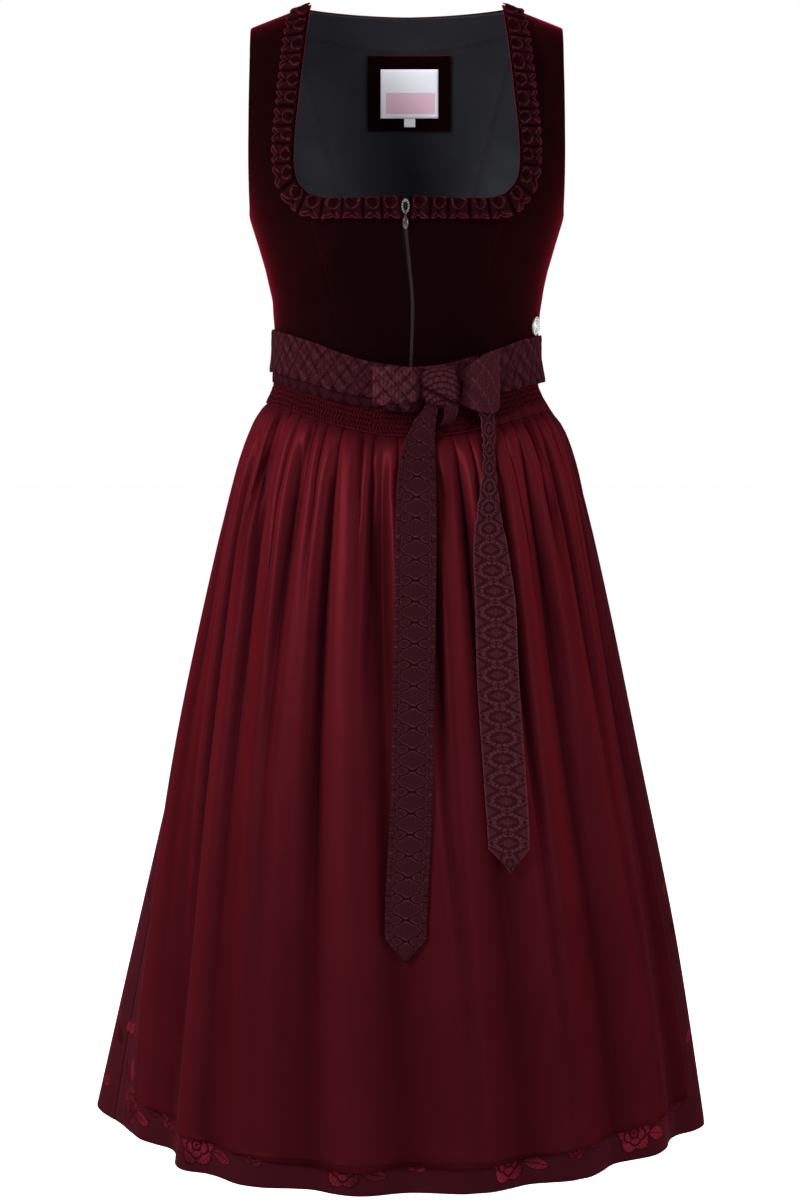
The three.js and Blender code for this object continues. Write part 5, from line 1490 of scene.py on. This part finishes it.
# Hanging ends: where each passes, its width and its turn. The starts give y beside the knot for each z
TAIL_LEFT = Table(
    "z x width turn",
    (-348, 23.5, 12, 0), (-359, 22, 13, 0), (-372, 16, 20, 0), (-392, 11, 28, 0), (-420, 9, 33, 0),
    (-454, 8, 36, 0), (-507, 7.5, 36.5, 0), (-608, 5.7, 36.5, 0), (-698, 4, 37, 0), (-790, -0.4, 37, 0),
    (-814, -0.8, 36, 0), (-833, -1.2, 36, 0),
)
TAIL_RIGHT = Table(
    "z x width turn",
    (-345, 65, 9, 20), (-358, 68, 13, 28), (-375, 71.5, 15, 35), (-406, 72, 14, 40), (-455, 71.5, 24, 25),
    (-481, 73.2, 31, 12), (-529, 77.4, 35.5, 4), (-576, 79, 36.5, 0), (-619, 81.3, 37, 0),
    (-701, 86.7, 37, 0), (-741, 88.9, 36, 0), (-759, 90.3, 36, 0),
)
LEFT_START = {-348: -99.8, -359: -100.8, -372: -102.6, -392: -105.5}
RIGHT_START = {-345: -87, -358: -88.6, -375: -93, -406: -104.5}


def apron_front(x, z, half_width):
    """How far forward the apron comes near x and z, over the width of a tie."""
    columns = np.linspace(4, APRON_COLUMNS - 4, 900)
    row = float(row_at(z - 6))
    line = skirt_points(columns, np.full(columns.shape, row))
    near = np.abs(line[:, 0] - x) <= half_width
    return float(line[near, 1].min()) - LAY_GAP - APRON_CLOTH


def make_tail(name, node, table, start, pattern, rows, count, tone):
    """Hanging end of the tie, which comes from the knot and then lies on the apron."""
    point_z, top = table.keys[0], table.keys[-1]
    z = np.linspace(top, point_z, rows)
    at = table.at(z)
    lying = np.linspace(-425, point_z, 16)
    rest_z = [*start, *lying]
    rest_y = list(start.values())
    for v in lying:
        here = table.at(v)
        rest_y.append(apron_front(float(here.x), v, float(here.width) / 2) - 1.2)
    rest_y = np.minimum.accumulate(np.array(rest_y))
    y = Table("z y", *zip(rest_z, rest_y)).at(z).y
    slope = np.gradient(y, z)
    turn = np.radians(at.turn)
    across = stack(np.cos(turn), np.sin(turn), 0)
    face = unit(stack(np.sin(turn), -np.cos(turn), slope))
    middle = stack(at.x, y, z)
    tip = np.clip((z - point_z) / TAIL_POINT, 0.03, 1)
    ribbon(name, node, middle, across, face, at.width, run_along(middle), pattern=pattern, tip=tip,
           count=count, tone=tone)


def make_ties():
    make_sash()
    make_loop("bow_left", "bow_loop_left", LOOP_LEFT, quilt_rows, left_dents, LOZENGE_PITCH, 0.2, 5, 14)
    make_loop("bow_right", "bow_loop_right", LOOP_RIGHT, quilt_crossed, right_dents, QUILT_PITCH, 0.08,
              58, 46)
    make_knot()
    make_curl()
    make_tail("tie_tail_left", "tie_end_left", TAIL_LEFT, LEFT_START, quilt, 570, 48, -0.14)
    make_tail("tie_tail_right", "tie_end_right", TAIL_RIGHT, RIGHT_START, quilt_beaded, 490, 46, 0.16)


def carry_over(name, finish):
    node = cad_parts[name]
    node.data.materials.clear()
    node.data.materials.append(finish)


def make_stage():
    bm = bmesh.new()
    bmesh.ops.create_grid(bm, x_segments=1, y_segments=1, size=12)
    paper = Finish(
        "floor_paper", (0.75, 0.75, 0.75), 0.9,
        **{"Emission Color": (1, 1, 1, 1), "Emission Strength": 0.66},
    )
    floor = mesh_object("floor", bm, [paper.material])
    floor.location.z = -1.3


def soft_light(name, place, size, power):
    """Area light aimed at the middle of the dress."""
    data = bpy.data.lights.new(name, "AREA")
    data.shape = "RECTANGLE"
    data.size, data.size_y = size
    data.energy = power
    light = bpy.data.objects.new(name, data)
    light.location = place
    light.rotation_euler = (DRESS_MIDDLE - Vector(place)).to_track_quat("-Z", "Y").to_euler()
    bpy.context.scene.collection.objects.link(light)


def make_lights():
    world = bpy.data.worlds.new("studio")
    bpy.context.scene.world = world
    world.use_nodes = True
    nodes = world.node_tree.nodes
    back = nodes["Background"]
    back.inputs["Color"].default_value = (1, 1, 1, 1)
    back.inputs["Strength"].default_value = 0.42
    seen = nodes.new("ShaderNodeBackground")
    seen.inputs["Color"].default_value = (1, 1, 1, 1)
    path = nodes.new("ShaderNodeLightPath")
    pick = nodes.new("ShaderNodeMixShader")
    links = world.node_tree.links
    links.new(path.outputs["Is Camera Ray"], pick.inputs[0])
    links.new(back.outputs[0], pick.inputs[1])
    links.new(seen.outputs[0], pick.inputs[2])
    links.new(pick.outputs[0], nodes["World Output"].inputs["Surface"])
    soft_light("key", (-1.9, -2.1, 1.1), (0.9, 1.3), 110)
    soft_light("fill", (1.9, -2.2, 0.4), (1.2, 1.8), 34)
    soft_light("left_edge", (-2.2, 0.5, 0.2), (0.7, 2.2), 45)
    soft_light("right_edge", (2.2, 0.5, 0.2), (0.7, 2.2), 40)
    soft_light("back", (0, 2.4, 0.8), (1.6, 1.6), 30)


def make_camera():
    data = bpy.data.cameras.new("camera")
    data.sensor_fit = "VERTICAL"
    data.sensor_height = SENSOR
    data.lens = CAMERA_LENS
    camera = bpy.data.objects.new("camera", data)
    camera.location = Vector(CAMERA_PLACE) * MM
    camera.rotation_euler = (math.pi / 2 - CAMERA_TILT, 0, 0)
    bpy.context.scene.collection.objects.link(camera)
    bpy.context.scene.camera = camera


make_camera()
make_bodice()
make_back()
make_labels()
make_trim(-1, "left", 0.01)
make_trim(1, "right", 0.002)
make_zip()
make_skirt()
make_apron()
make_smocking()
make_waistband()
make_ties()
carry_over("zip_slider", gunmetal)
carry_over("zip_pull", lacquer)
carry_over("badge", silver)
make_stage()
make_lights()
bpy.context.scene.view_settings.view_transform = "Standard"
